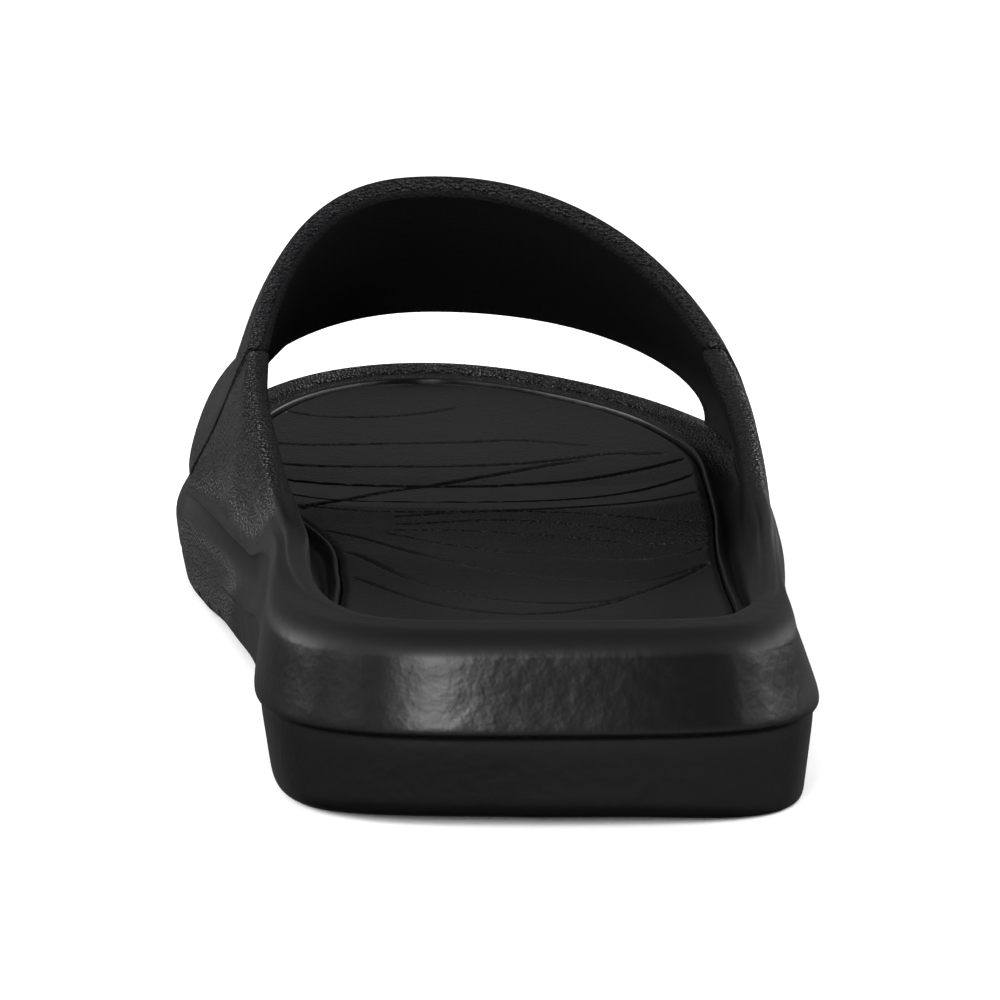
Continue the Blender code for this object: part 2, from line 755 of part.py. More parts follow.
def make_footbed(columns, material):
    edge = lambda s, y: bed_inset(s, y) + CLEARANCE
    inner = lambda s, y: edge(s, y) + FOOTBED_ROUND
    rings = [
        (inner, lambda x, y: recess_height(y) + CLEARANCE),
        (edge, lambda x, y: recess_height(y) + CLEARANCE + FOOTBED_ROUND),
        (edge, lambda x, y: lip_height(y) - CLEARANCE - FOOTBED_ROUND),
        (inner, lambda x, y: lip_height(y) - CLEARANCE),
    ]
    bm = bmesh.new()
    rings = [add_ring(bm, ring_points(columns, inset, height)) for inset, height in rings]
    for low, high in zip(rings, rings[1:]):
        join_rings(bm, low, high)
    floor = lambda p, t: recess_height(p.y) + CLEARANCE
    close_across(bm, rings[0], TREAD_STRIPS, floor, False)
    close_across(bm, rings[-1], BED_STRIPS, bed_surface, True)
    return make_object("footbed", bm, material)


# Strap

def joint_y(height):
    # The slanted joint with the wing, moved forward by the clearance
    t = (WING_HEIGHT - height) / (WING_HEIGHT - JOINT_HEIGHT)
    run = (JOINT_AT - WING_AT) * LENGTH
    slant = math.hypot(run, WING_HEIGHT - JOINT_HEIGHT) / (WING_HEIGHT - JOINT_HEIGHT)
    return WING_AT * LENGTH + run * t + CLEARANCE * slant


def rear_y(height, crown):
    # The rear edge: up the joint, then free to the crown
    if height <= WING_HEIGHT:
        return joint_y(height)
    t = min((height - WING_HEIGHT) / (crown - WING_HEIGHT), 1.0)
    corner = joint_y(WING_HEIGHT)
    return mix(corner, CROWN_REAR_AT * LENGTH, t ** 0.8)


def rear_point(side, angle, depth):
    # Where a line along the arch meets the rear edge
    crown = INSTEP_HEIGHT - depth
    y = CROWN_REAR_AT * LENGTH
    low, high = WING_AT * LENGTH, JOINT_AT * LENGTH + 0.001
    for _ in range(40):
        y = (low + high) / 2
        if rear_y(arch_point(side, y, angle, depth)[1], crown) > y:
            low = y
        else:
            high = y
    return y


def front_y(angle):
    return mix(FOOT_FRONT_AT, CROWN_FRONT_AT, math.sin(angle)) * LENGTH


def strap_angles(side, depth):
    # Angles up one side, with one exactly at the wing's peak
    corner = arch_angle(side, joint_y(WING_HEIGHT), WING_HEIGHT, depth)
    low = [corner * n / WING_FACES for n in range(WING_FACES)]
    high = [mix(corner, math.pi / 2, n / CROWN_FACES) for n in range(CROWN_FACES + 1)]
    return low + high


def strap_point(side, angle, depth, y):
    # The strap's foot stands a clearance above the sole's rim
    x, z = arch_point(side, y, angle, depth)
    return x, y, z + CLEARANCE * math.cos(angle) ** 8


def strap_section(side, outer, inner):
    # One closed loop lengthwise: outer face forward, inner face back, with round edges
    rears = [rear_point(side, outer, 0.0), rear_point(side, inner, STRAP_WALL)]
    fronts = [front_y(outer), front_y(inner)]
    top, low = [], []
    for n in range(STRAP_FACES + 1):
        share = n / STRAP_FACES
        y = mix(rears[0] + STRAP_ROUND, fronts[0] - STRAP_ROUND, share)
        top.append(strap_point(side, outer, 0.0, y))
        y = mix(rears[1] + STRAP_ROUND, fronts[1] - STRAP_ROUND, share)
        low.append(strap_point(side, inner, STRAP_WALL, y))
    edges = []
    for ends in (fronts, rears):
        for depth in (STRAP_ROUND, STRAP_WALL - STRAP_ROUND):
            part = depth / STRAP_WALL
            angle = mix(outer, inner, part)
            edges.append(strap_point(side, angle, depth, mix(ends[0], ends[1], part)))
    return top + edges[:2] + low[::-1] + edges[:1:-1]


def make_strap(material):
    sides = []
    for side in (MEDIAL, LATERAL):
        pairs = zip(strap_angles(side, 0.0), strap_angles(side, STRAP_WALL))
        sides.append([strap_section(side, outer, inner) for outer, inner in pairs])
    medial, lateral = sides
    bm = bmesh.new()
    sections = [add_ring(bm, points) for points in medial + lateral[-2::-1]]
    for near, far in zip(sections, sections[1:]):
        join_rings(bm, near, far)
    for foot in (sections[0], sections[-1]):
        # The foot's flat underside, closed from edge to edge
        count = len(foot)
        for k in range(-1, count // 2 - 2):
            bm.faces.new((foot[k], foot[k + 1], foot[count - 4 - k], foot[count - 3 - k]))
    return make_object("strap", bm, material)


def main():
    clear_scene()
    columns = all_columns()
    make_sole(columns, make_material("moulded_foam_black", (0.016, 0.016, 0.018), 0.5))
    make_strap(make_material("strap_foam_black", (0.014, 0.014, 0.016), 0.55))
    make_footbed(columns, make_material("footbed_foam_black", (0.022, 0.021, 0.024), 0.7))


main()
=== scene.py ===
import math

import bpy
import bmesh
from mathutils import Matrix, Vector


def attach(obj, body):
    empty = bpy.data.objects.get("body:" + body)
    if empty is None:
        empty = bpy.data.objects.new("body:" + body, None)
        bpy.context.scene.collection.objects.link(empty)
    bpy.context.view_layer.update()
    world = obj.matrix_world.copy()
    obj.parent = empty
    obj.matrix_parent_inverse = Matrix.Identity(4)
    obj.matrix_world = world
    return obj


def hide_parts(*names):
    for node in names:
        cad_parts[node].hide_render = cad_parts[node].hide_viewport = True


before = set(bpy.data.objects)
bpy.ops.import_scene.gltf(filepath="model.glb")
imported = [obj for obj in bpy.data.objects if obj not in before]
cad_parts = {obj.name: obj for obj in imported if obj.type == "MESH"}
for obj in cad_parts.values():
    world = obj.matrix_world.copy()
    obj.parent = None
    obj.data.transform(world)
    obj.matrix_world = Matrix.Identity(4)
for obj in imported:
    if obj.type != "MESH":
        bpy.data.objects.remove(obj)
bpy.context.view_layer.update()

# A moulded foam slide for the right foot. X runs to the lateral side, Y to the toes, Z up, metres.
# Sizes and tables repeat the solids', so that every surface lies where the frame has it.

sole = dict(
    length=0.290,
    heelWidth=0.0862,
    heelOffset=0.0006,
    ballMedial=0.0612,
    ballLateral=0.0515,
    toeTipOffset=0.014,
    heelRound=0.047,
    collarHeight=0.0295,
    wingHeight=0.0508,
    toeHeight=0.030,
    toeSpring=0.010,
    waistLift=0.0018,
    ridgeHeight=0.0143,
    bulgeHeight=0.0195,
    creaseHeight=0.025,
    cornerHeight=0.0018,
    treadRound=0.0016,
    heelBevel=0.0010,
    ridgeStep=0.0008,
    sideTaper=0.0028,
    sideLean=0.0042,
    rimLean=0.0055,
    rimWall=0.0058,
    rimRound=0.0012,
    rimDraft=0.0005,
    waistAt=0.379,
    wingAt=0.517,
    wingFine=0.0012,       # columns this far to both sides of the wing's peak
    wingStartsMedial=0.480,
    wingStartsLateral=0.400,
    jointAt=0.672,
    ballAt=0.717,
    springAt=0.720,
    heelSquareMedial=3.3,
    heelSquareLateral=4.2,
    toeTaperMedial=-0.08,
    toeTaperLateral=0.27,
    jointSharpness=0.35,
)

strap = dict(
    jointHeight=0.021,
    instepHeight=0.0801,
    crownOffset=0.013,
    footLean=0.0020,
    wall=0.0038,
    round=0.0005,
    crownRearAt=0.545,
    crownFrontAt=0.783,
    footFrontAt=0.803,
)

footbed = dict(
    border=0.0135,
    thickness=0.0042,
    round=0.0008,
    lipHeight=0.020,
    lipDrop=0.0020,
    gutterDepth=0.0018,
    gutterShelf=0.0012,
    cupDepth=0.0030,
    clearance=0.0003,
    # painted shade: the footbed under the heel is painted darker as well as duller
    heelDullAndShade=0.55,         # how dull the footbed is under the heel
)

tread = dict(
    grooveDepth=0.0025,
    grooveWidth=0.0034,
    lugPitch=0.0130,
    grooveWave=0.0030,
    heelGrooveReach=0.031,
    ballGrooveReach=0.073,
    heelGroovesAt=(0.075, 0.31),
    ballGroovesAt=(0.53, 0.94),
)

counts = dict(heel=10, toe=15, side=(8, 8, 7, 2), treadStrips=6, waveSteps=24, strap=10, wing=8, crown=14)

medial = -1
lateral = 1


def table(names, *rows):
    # A table with named columns
    return [dict(zip(names.split(), row)) for row in rows]


# How the widest line opens from the heel's half width (0) to the ball's (1)
planRows = table("along medial lateral",
    (0.162, 0.00, 0.00),
    (0.276, 0.00, 0.03),
    (0.379, 0.14, 0.22),
    (0.469, 0.37, 0.44),
    (0.552, 0.59, 0.70),
    (0.628, 0.82, 0.90),
    (0.672, 0.95, 0.98),
    (0.717, 1.00, 1.00),
)

# Heights of the side's lines above the tread, as shares of the heel's own heights
sideHeights = table("along ridge bulge crease",
    (0.00, 1.00, 1.00, 1.00),
    (0.33, 0.98, 0.99, 0.99),
    (0.39, 0.80, 0.82, 0.84),
    (0.47, 0.72, 0.78, 0.82),
    (0.55, 0.64, 0.77, 0.80),
    (0.63, 0.58, 0.77, 0.77),
    (0.69, 0.56, 0.76, 0.73),
    (0.81, 0.56, 0.74, 0.78),
    (0.91, 0.56, 0.69, 0.74),
    (1.00, 0.56, 0.64, 0.66),
)

# How far the medial side stands in from the widest line: the tread's corner as a share of
# sole["sideTaper"], the ridge, bulge and crease of sole["sideLean"], and the rim of sole["rimLean"]
medialSide = table("along corner ridge bulge crease rim",
    (0.00, 0.95, 0.00, 0.22, 0.43, 1.43),
    (0.045, 0.94, 0.00, 0.22, 0.43, 1.76),
    (0.10, 0.92, 0.00, 0.22, 0.43, 1.58),
    (0.16, 0.90, 0.00, 0.22, 0.43, 1.20),
    (0.26, 0.76, 0.00, 0.27, 0.42, 0.78),
    (0.34, 0.60, 0.00, 0.32, 0.40, 0.80),
    (0.39, 0.40, 0.05, 0.52, 0.30, 0.92),
    (0.47, 0.40, 0.10, 0.55, 0.30, 1.03),
    (0.56, 0.50, 0.15, 0.30, 0.40, 1.05),
    (0.63, 0.70, 0.20, 0.08, 0.57, 0.55),
    (0.68, 0.78, 0.22, 0.00, 0.62, 0.50),
    (0.73, 0.82, 0.22, 0.00, 0.78, 0.60),
    (0.81, 0.90, 0.22, 0.00, 1.00, 0.80),
    (0.91, 1.00, 0.20, 0.00, 0.80, 0.66),
    (1.00, 1.07, 0.20, 0.00, 0.36, 0.50),
)

# The same for the lateral side
lateralSide = table("along corner ridge bulge crease rim",
    (0.00, 0.80, 0.00, 0.22, 0.43, 1.43),
    (0.045, 0.80, 0.01, 0.32, 0.62, 1.70),
    (0.10, 0.80, 0.02, 0.44, 0.94, 1.26),
    (0.16, 0.85, 0.02, 0.44, 0.98, 0.98),
    (0.23, 0.80, 0.00, 0.34, 0.74, 0.74),
    (0.34, 0.50, 0.00, 0.26, 0.40, 0.53),
    (0.39, 0.30, 0.00, 0.46, 0.45, 0.58),
    (0.47, 0.28, 0.00, 0.50, 0.62, 0.90),
    (0.56, 0.28, 0.00, 0.46, 0.86, 1.10),
    (0.63, 0.28, 0.00, 0.42, 0.96, 0.80),
    (0.69, 0.30, 0.00, 0.38, 1.00, 0.77),
    (0.81, 0.60, 0.02, 0.16, 0.90, 0.80),
    (0.91, 0.90, 0.12, 0.03, 0.56, 0.62),
    (1.00, 1.07, 0.20, 0.00, 0.36, 0.50),
)

# The rim's wall as a share of sole["rimWall"], and the footbed's edge of footbed["border"]
rimRows = table("along medial lateral bedMedial bedLateral",
    (0.00, 0.46, 0.46, 1.00, 1.00),
    (0.045, 0.46, 0.46, 1.12, 1.07),
    (0.10, 0.46, 0.46, 1.06, 0.96),
    (0.16, 0.48, 0.47, 0.97, 0.85),
    (0.24, 0.62, 0.48, 0.95, 0.79),
    (0.34, 0.72, 0.50, 1.05, 0.83),
    (0.40, 0.70, 0.54, 1.18, 0.88),
    (0.45, 0.68, 0.61, 1.26, 0.90),
    (0.52, 0.66, 0.66, 1.20, 0.93),
    (0.60, 0.66, 0.66, 1.06, 1.00),
    (0.67, 0.66, 0.66, 1.02, 1.05),
    (0.73, 0.66, 0.66, 1.00, 1.04),
    (0.82, 0.50, 0.52, 0.86, 0.93),
    (0.90, 0.36, 0.38, 0.74, 0.74),
    (1.00, 0.34, 0.34, 0.69, 0.69),
)

# How the rim climbs from the collar (0) to the wing's peak (1)
wingRise = table("along rise",
    (0.360, 0.00),
    (0.410, 0.05),
    (0.448, 0.17),
    (0.476, 0.36),
    (0.497, 0.62),
    (0.517, 1.00),
)

# The recess lip's extra height towards the heel, as a share of footbed["lipDrop"], and the
# gutter's depth beside it as a share of footbed["gutterDepth"]
bedEdge = table("along lift gutter",
    (0.00, 1.00, 0.00),
    (0.19, 0.80, 0.05),
    (0.26, 0.50, 1.00),
    (0.40, 0.05, 1.00),
    (0.72, 0.00, 1.00),
    (0.82, 0.00, 0.10),
    (1.00, 0.00, 0.00),
)

# How deep the footbed dips below its edge, as a share of footbed["cupDepth"], and how much of that
# dip the medial arch fills
bedDip = table("along dip arch",
    (0.00, 0.30, 0.00),
    (0.13, 1.00, 0.00),
    (0.30, 0.75, 0.35),
    (0.45, 0.55, 0.90),
    (0.60, 0.65, 0.40),
    (0.72, 0.85, 0.05),
    (0.85, 0.70, 0.00),
    (1.00, 0.20, 0.00),
)

# The strap's arch: the crown's height as a share of strap["instepHeight"], how square each side of
# the arch is, 2 being an ellipse, and the medial foot's stand behind the crease, of strap["footLean"]
archRows = table("along crown medial lateral foot",
    (0.350, 1.000, 2.52, 2.02, 1.00),
    (0.545, 1.000, 2.52, 2.02, 1.00),
    (0.593, 0.932, 2.06, 2.02, 0.60),
    (0.631, 0.873, 1.74, 2.02, 0.20),
    (0.672, 0.810, 1.54, 2.02, 0.00),
    (0.720, 0.735, 1.66, 2.04, 0.00),
    (0.786, 0.632, 2.12, 2.06, 0.00),
    (0.850, 0.532, 2.20, 2.06, 0.00),
)


def mix(a, b, t):
    return a + (b - a) * t


def ease(low, high, value):
    t = min(max((value - low) / (high - low), 0.0), 1.0)
    return t * t * (3.0 - 2.0 * t)


def band(start, full, fading, end, value):
    # 1 within a band, easing to 0 past both its edges
    return ease(start, full, value) * (1.0 - ease(fading, end, value))


def solve(low, high, isLow):
    # Halves a range until it closes on the place where isLow turns false
    for _ in range(40):
        middle = (low + high) / 2
        if isLow(middle):
            low = middle
        else:
            high = middle
    return low


def shareOf(y):
    # A place along the foot as a share of its length
    return y / sole["length"]


def placeOf(name):
    return sole[name] * sole["length"]


def slopeAt(rows, i, column):
    # A slope that never lets the curve pass its rows
    before = rows[i]["along"] - rows[i - 1]["along"]
    after = rows[i + 1]["along"] - rows[i]["along"]
    left = (rows[i][column] - rows[i - 1][column]) / before
    right = (rows[i + 1][column] - rows[i][column]) / after
    if left * right <= 0.0:
        return 0.0
    return (before + after) / (before / left + after / right)


def read(rows, y, column):
    # A smooth curve through one column of a table, read at a place along the foot
    along = shareOf(y)
    if along <= rows[0]["along"]:
        return rows[0][column]
    if along >= rows[-1]["along"]:
        return rows[-1][column]
    i = max(k for k in range(len(rows) - 1) if rows[k]["along"] <= along)
    span = rows[i + 1]["along"] - rows[i]["along"]
    t = (along - rows[i]["along"]) / span
    start = slopeAt(rows, i, column) if i > 0 else 0.0
    end = slopeAt(rows, i + 1, column) if i + 2 < len(rows) else 0.0
    rise = rows[i + 1][column] - rows[i][column]
    a = start * span - rise
    b = rise - end * span
    return mix(rows[i][column], rows[i + 1][column], t) + t * (1 - t) * (a * (1 - t) + b * t)


def sideRows(side):
    return medialSide if side == medial else lateralSide


def sideInset(side, y, column):
    return sole["sideLean"] * read(sideRows(side), y, column)


def sideName(side):
    return "medial" if side == medial else "lateral"


def ballHalf(side):
    return sole["ballMedial"] if side == medial else sole["ballLateral"]


def heelHalf(side):
    return sole["heelWidth"] / 2 + side * sole["heelOffset"]


# Outline of the sole at its widest line

def heelPoint(side, turn):
    # A squarish round heel, turn 0 at the back and 1 at the side
    angle = turn * math.pi / 2
    power = 2.0 / (sole["heelSquareMedial"] if side == medial else sole["heelSquareLateral"])
    x = heelHalf(side) * math.sin(angle) ** power
    y = sole["heelRound"] * (1.0 - max(math.cos(angle), 0.0) ** power)
    return side * x, y


def toePoint(side, turn):
    # A quarter round from the ball to the toe tip, turn 0 at the ball and 1 at the tip
    angle = turn * math.pi / 2
    taper = sole["toeTaperMedial"] if side == medial else sole["toeTaperLateral"]
    reach = ballHalf(side) + side * sole["toeTipOffset"]
    across = reach * math.cos(angle) * (1.0 - taper * math.sin(angle) ** 2)
    y = mix(placeOf("ballAt"), sole["length"], math.sin(angle))
    return side * across - sole["toeTipOffset"], y


def sidePoint(side, y):
    share = read(planRows, y, sideName(side))
    return side * mix(heelHalf(side), ballHalf(side), share), y


def inwardOf(curve, side, turn, step=0.001):
    # Unit direction into the shoe, square to a curve that runs forward
    x0, y0 = curve(side, max(turn - step, 0.0))
    x1, y1 = curve(side, min(turn + step, 1.0))
    dx, dy = x1 - x0, y1 - y0
    size = math.hypot(dx, dy)
    return -side * dy / size, side * dx / size


def evenStops(points, count):
    # Parts a line of points into equal lengths: for each stop a link's number and a share of it
    run = [0.0]
    for a, b in zip(points, points[1:]):
        run.append(run[-1] + math.dist(a, b))
    stops = []
    k = 0
    for n in range(count + 1):
        goal = run[-1] * n / count
        while k < len(run) - 2 and run[k + 1] < goal:
            k += 1
        stops.append((k, min((goal - run[k]) / (run[k + 1] - run[k]), 1.0)))
    return stops


def evenTurns(curve, side, count, samples=600):
    # Turns that part a curve into pieces of equal length
    points = [curve(side, k / samples) for k in range(samples + 1)]
    return [(k + part) / samples for k, part in evenStops(points, count)]


def sideStations():
    # Places from the heel's round to the ball, with one exactly at each corner of the rim
    stops = [sole["heelRound"]] + [placeOf(name) for name in ("waistAt", "wingAt", "jointAt", "ballAt")]
    places = []
    for start, stop, count in zip(stops, stops[1:], counts["side"]):
        places += [mix(start, stop, (n + 1) / count) for n in range(count)]
    corner = placeOf("wingAt")
    return sorted(places[:-1] + [corner - sole["wingFine"], corner + sole["wingFine"]])


def halfColumns(side):
    # Columns up one side of the shoe: point on the widest line and direction inwards
    def roundColumns(curve, count):
        turns = evenTurns(curve, side, count)
        return [(side, *curve(side, turn), *inwardOf(curve, side, turn)) for turn in turns]

    columns = roundColumns(heelPoint, counts["heel"])
    columns += [(side, *sidePoint(side, y), -side, 0.0) for y in sideStations()]
    columns += roundColumns(toePoint, counts["toe"])
    columns[0] = (side, 0.0, 0.0, 0.0, 1.0)
    columns[-1] = (side, -sole["toeTipOffset"], sole["length"], 0.0, -1.0)
    return columns


def allColumns():
    # Once round: heel centre, lateral side, toe tip and back down the medial side
    right = halfColumns(lateral)
    left = halfColumns(medial)
    return right + left[-2:0:-1]


def outlineX(side, y):
    # The widest line at a place along the foot, clear of the heel's round
    if y <= placeOf("ballAt"):
        return sidePoint(side, y)[0]
    rise = (y - placeOf("ballAt")) / (sole["length"] * (1.0 - sole["ballAt"]))
    return toePoint(side, math.asin(min(rise, 1.0)) * 2 / math.pi)[0]


# Heights along the foot

def ground(y):
    # The tread's lift: none under heel and ball, then the toe spring
    lift = max((shareOf(y) - sole["springAt"]) / (1.0 - sole["springAt"]), 0.0)
    return sole["toeSpring"] * lift ** 1.6


def waist(y):
    # The arch: the tread stands a little off the ground between heel and ball
    return sole["waistLift"] * band(0.30, 0.42, 0.50, 0.62, shareOf(y))


def treadHeight(x, y):
    # The tread's face, with a bevel at the back of the heel that fades to the lateral corner
    back = 1.0 - ease(0.012, 0.050, shareOf(y))
    bevel = back * (1.0 - ease(0.30, 0.80, x / heelHalf(lateral)))
    return ground(y) + waist(y) + sole["heelBevel"] * bevel


def borderHeight(y):
    # One straight line in side view, from the joint's foot to the toe tip
    start = placeOf("jointAt")
    return mix(strap["jointHeight"], sole["toeHeight"], (y - start) / (sole["length"] - start))


def rimHeight(y):
    # Collar, climbing wing, slanted joint and border, from heel to toe
    if y <= placeOf("wingAt"):
        return mix(sole["collarHeight"], sole["wingHeight"], read(wingRise, y, "rise"))
    if y <= placeOf("jointAt"):
        t = (shareOf(y) - sole["wingAt"]) / (sole["jointAt"] - sole["wingAt"])
        return mix(sole["wingHeight"], strap["jointHeight"], t)
    return borderHeight(y)


def lipHeight(y):
    # The line round the footbed
    low = max(footbed["lipHeight"], borderHeight(y) - footbed["lipDrop"])
    return low + footbed["lipDrop"] * read(bedEdge, y, "lift")


def gutterHeight(y):
    return lipHeight(y) - footbed["gutterDepth"] * read(bedEdge, y, "gutter")


def bedCentre(y):
    return lipHeight(y) - footbed["cupDepth"] * read(bedDip, y, "dip") - footbed["clearance"]


def recessHeight(y):
    return bedCentre(y) - footbed["thickness"]


def sideHeight(y, column):
    return ground(y) + sole[column + "Height"] * read(sideHeights, y, column)


def ridgeUp(y):
    return sideHeight(y, "ridge")


def bulgeUp(y):
    return sideHeight(y, "bulge")


def creaseUp(y):
    return sideHeight(y, "crease")


# The strap's arch, which the wings share

def archFrame(side, y):
    # Half width, rise and squareness of one side of the arch
    lean = creaseInset(side, y)
    if side == medial:
        lean += strap["footLean"] * read(archRows, y, "foot")
    half = abs(outlineX(side, y)) - lean + side * strap["crownOffset"]
    base = borderHeight(y) if y > placeOf("jointAt") else strap["jointHeight"]
    rise = strap["instepHeight"] * read(archRows, y, "crown") - base
    return half, rise, base, read(archRows, y, sideName(side))


def archPoint(side, y, angle, depth):
    # Point of the arch at a depth under its outer face, angle 0 at the foot and 90 at the crown
    half, rise, base, power = archFrame(side, y)
    x = half * max(math.cos(angle), 0.0) ** (2.0 / power)
    z = rise * max(math.sin(angle), 0.0) ** (2.0 / power)
    nx = x ** (power - 1.0) / half ** power
    nz = z ** (power - 1.0) / rise ** power
    size = math.hypot(nx, nz)
    x -= depth * nx / size
    z -= depth * nz / size
    return side * x - strap["crownOffset"], base + z


def archAngle(side, y, height, depth):
    # The angle at which the arch reaches a height
    return solve(0.0, math.pi / 2, lambda angle: archPoint(side, y, angle, depth)[1] < height)


def archX(side, y, height, depth):
    return archPoint(side, y, archAngle(side, y, height, depth), depth)[0]


def archInset(side, y, height, depth):
    return side * (outlineX(side, y) - archX(side, y, height, depth))


# Rings of the sole, each an inset from the widest line and a height

def wingShare(side, y):
    # Where the rim leaves its own lean for the arch's face
    start = sole["wingStartsLateral"] if side == lateral else sole["wingStartsMedial"]
    return ease(start, sole["wingAt"], shareOf(y))


def onWing(y):
    return sole["heelRound"] < y < placeOf("jointAt")


def intoArch(side, y, own, height, depth):
    # Leads a line of the sole over to the arch's face along the wing
    share = wingShare(side, y)
    if not onWing(y) or share == 0.0:
        return own
    return mix(own, archInset(side, y, height, depth), share)


def rimOuter(side, y):
    own = sole["rimLean"] * read(sideRows(side), y, "rim")
    return intoArch(side, y, own, rimHeight(y), 0.0)


def rimWall(side, y):
    own = sole["rimWall"] * read(rimRows, y, sideName(side))
    if y >= strap["footFrontAt"] * sole["length"]:
        return own
    return mix(own, strap["wall"], wingShare(side, y))


def rimInner(side, y):
    return intoArch(side, y, rimOuter(side, y) + rimWall(side, y), rimHeight(y), strap["wall"])


def bedInset(side, y):
    return footbed["border"] * read(rimRows, y, "bed" + sideName(side).capitalize())


def wallFoot(side, y):
    # Foot of the inner wall, where the gutter begins
    low = creaseInset(side, y) + rimWall(side, y)
    foot = mix(rimInner(side, y) + sole["rimDraft"], low, wingShare(side, y))
    return min(foot, bedInset(side, y) - 2 * footbed["gutterShelf"])


def rimRound(y):
    # The rim's round edges shrink where the strap stands on it
    joint = band(sole["wingAt"], sole["wingAt"] + 0.02, 0.80, 0.84, shareOf(y))
    return sole["rimRound"] * mix(1.0, sole["jointSharpness"], joint)


def rimFall(y):
    # The toe border slopes inwards
    return footbed["lipDrop"] * 0.45 * ease(0.80, 0.90, shareOf(y))


def cornerInset(side, y):
    return sole["sideTaper"] * read(sideRows(side), y, "corner")


def treadInset(side, y):
    # The tread's edge, rounded more at the back of the heel
    along = shareOf(y)
    if side == medial:
        return cornerInset(side, y) + sole["treadRound"] * mix(1.8, 1.0, ease(0.01, 0.10, along))
    return cornerInset(side, y) + sole["treadRound"] * mix(1.4, 0.3, ease(0.0, 0.03, along))


def ridgeInset(side, y):
    return sideInset(side, y, "ridge")


def bulgeInset(side, y):
    return sideInset(side, y, "bulge")


def creaseInset(side, y):
    return sideInset(side, y, "crease")


def belowRidgeInset(side, y):
    step = mix(1.0, 0.2, ease(0.33, 0.42, shareOf(y)))
    return ridgeInset(side, y) + sole["ridgeStep"] * step


def innerMiddle(side, y):
    own = mix(rimInner(side, y), wallFoot(side, y), 0.5)
    return intoArch(side, y, own, mix(rimHeight(y), gutterHeight(y), 0.5), strap["wall"])


# What only the visual model has: soft moulded lines too fine for the solids, in metres
moulding = dict(
    lipSoft=0.0004,        # the heel step's rounded lip
    stepGroove=0.0004,     # the dark line pressed in under that lip
    beadGroove=0.0006,     # the groove along the outside of the rim's bead
    beadDrop=0.0013,       # how far that groove lies below the wing's rim
    creaseRidge=0.0008,    # the raised line along the medial wing
    ridgeHalf=0.0005,      # half the width of that line
    dish=0.0021,           # how far the medial panel is sunk behind the crease
    fillet=0.0030,         # the round foot of the rim's inner wall
    partLine=0.0005,       # the parting line in the strap's rear edge
    lipRise=0.0002,        # the soft raised edge round the footbed
    lipWidth=0.0020,
    bedPlay=0.0002,        # the recess's floor above the solids'
    slit=0.0012,           # how far the medial joint gapes under its peak
    shut=0.0005,           # how far the joint closes elsewhere
    wingBow=2.1,           # how late the wing's face bends in, as a power
    rollUp=1.8,            # the heel's shoulder: how soon it nears its height,
    rollIn=3.2,            # how late it turns in,
    rollStart=0.2,         # and its share of a straight lean
)


def gridSpots(bm, across, along):
    # Reads each vertex's place in a fresh grid as a column and a row
    for vert in bm.verts:
        yield vert, round((vert.co.x + 1) / 2 * across), round((vert.co.y + 1) / 2 * along)


def newGrid(across, along):
    bm = bmesh.new()
    bmesh.ops.create_grid(bm, x_segments=across, y_segments=along, size=1.0)
    return bm


def intoMesh(bm, name):
    mesh = bpy.data.meshes.new(name)
    bm.to_mesh(mesh)
    bm.free()
    return mesh


def joinInto(bm, part):
    # Adds one bmesh to another
    mesh = intoMesh(part, "part")
    bm.from_mesh(mesh)
    bpy.data.meshes.remove(mesh)


def mergeSeams(bm, near, tiny):
    # Merges seams and poles, and takes out edges without length
    bmesh.ops.remove_doubles(bm, verts=bm.verts[:], dist=near)
    bmesh.ops.dissolve_degenerate(bm, edges=bm.edges[:], dist=tiny)


def turnOut(bm):
    bmesh.ops.recalc_face_normals(bm, faces=bm.faces[:])


def addObject(name, bm):
    # Moves heel-based places to the frame's own origin, in the mesh
    mesh = intoMesh(bm, name)
    mesh.transform(shiftMatrix)
    piece = bpy.data.objects.new(name, mesh)
    bpy.context.collection.objects.link(piece)
    return piece


def soften(piece):
    fine = piece.modifiers.new("smooth", "SUBSURF")
    fine.levels = 2
    fine.render_levels = 2


def applyModifiers(piece):
    view = bpy.context.evaluated_depsgraph_get()
    mesh = bpy.data.meshes.new_from_object(piece.evaluated_get(view))
    piece.modifiers.clear()
    piece.data = mesh


shiftX = (sole["ballMedial"] - sole["ballLateral"]) / 2
shiftMatrix = Matrix.Translation((shiftX, -sole["length"] / 2, 0.0))


# The sole

def collar(y):
    # 1 round the heel, where the upper face rolls over to the rim, 0 along the wings
    return 1.0 - ease(0.12, 0.36, shareOf(y))


def beadUp(y):
    # The rim's bead stands proud along the wings and melts into the heel's collar
    return rimRound(y) * mix(1.0, 0.08, 1.0 - ease(0.04, 0.22, shareOf(y)))


def outerHeight(y, share):
    # The upper face between the crease (0) and the rim's bead (1)
    up = mix(share, 1.0 - (1.0 - share) ** moulding["rollUp"], collar(y))
    return mix(creaseUp(y), rimHeight(y) - beadUp(y), up)


def outerInset(side, y, share):
    rolled = mix(share ** moulding["rollIn"], share, moulding["rollStart"])
    bend = mix(share ** moulding["wingBow"], rolled, collar(y))
    own = mix(creaseInset(side, y), rimOuter(side, y), bend)
    if side == medial:
        # The medial panel is dished from the crease on, well before the wing rises
        dished = band(0.28, 0.52, 0.50, 0.52, shareOf(y)) * band(0.0, 0.12, 0.45, 1.0, share)
        own += moulding["dish"] * dished
    return intoArch(side, y, own, outerHeight(y, share), 0.0)


def beadStrength(y):
    past = sole["wingAt"] + 0.02
    return moulding["beadGroove"] * band(0.10, 0.26, past, past + 0.04, shareOf(y))


def noBead(y):
    return 1.0 - beadStrength(y) / moulding["beadGroove"]


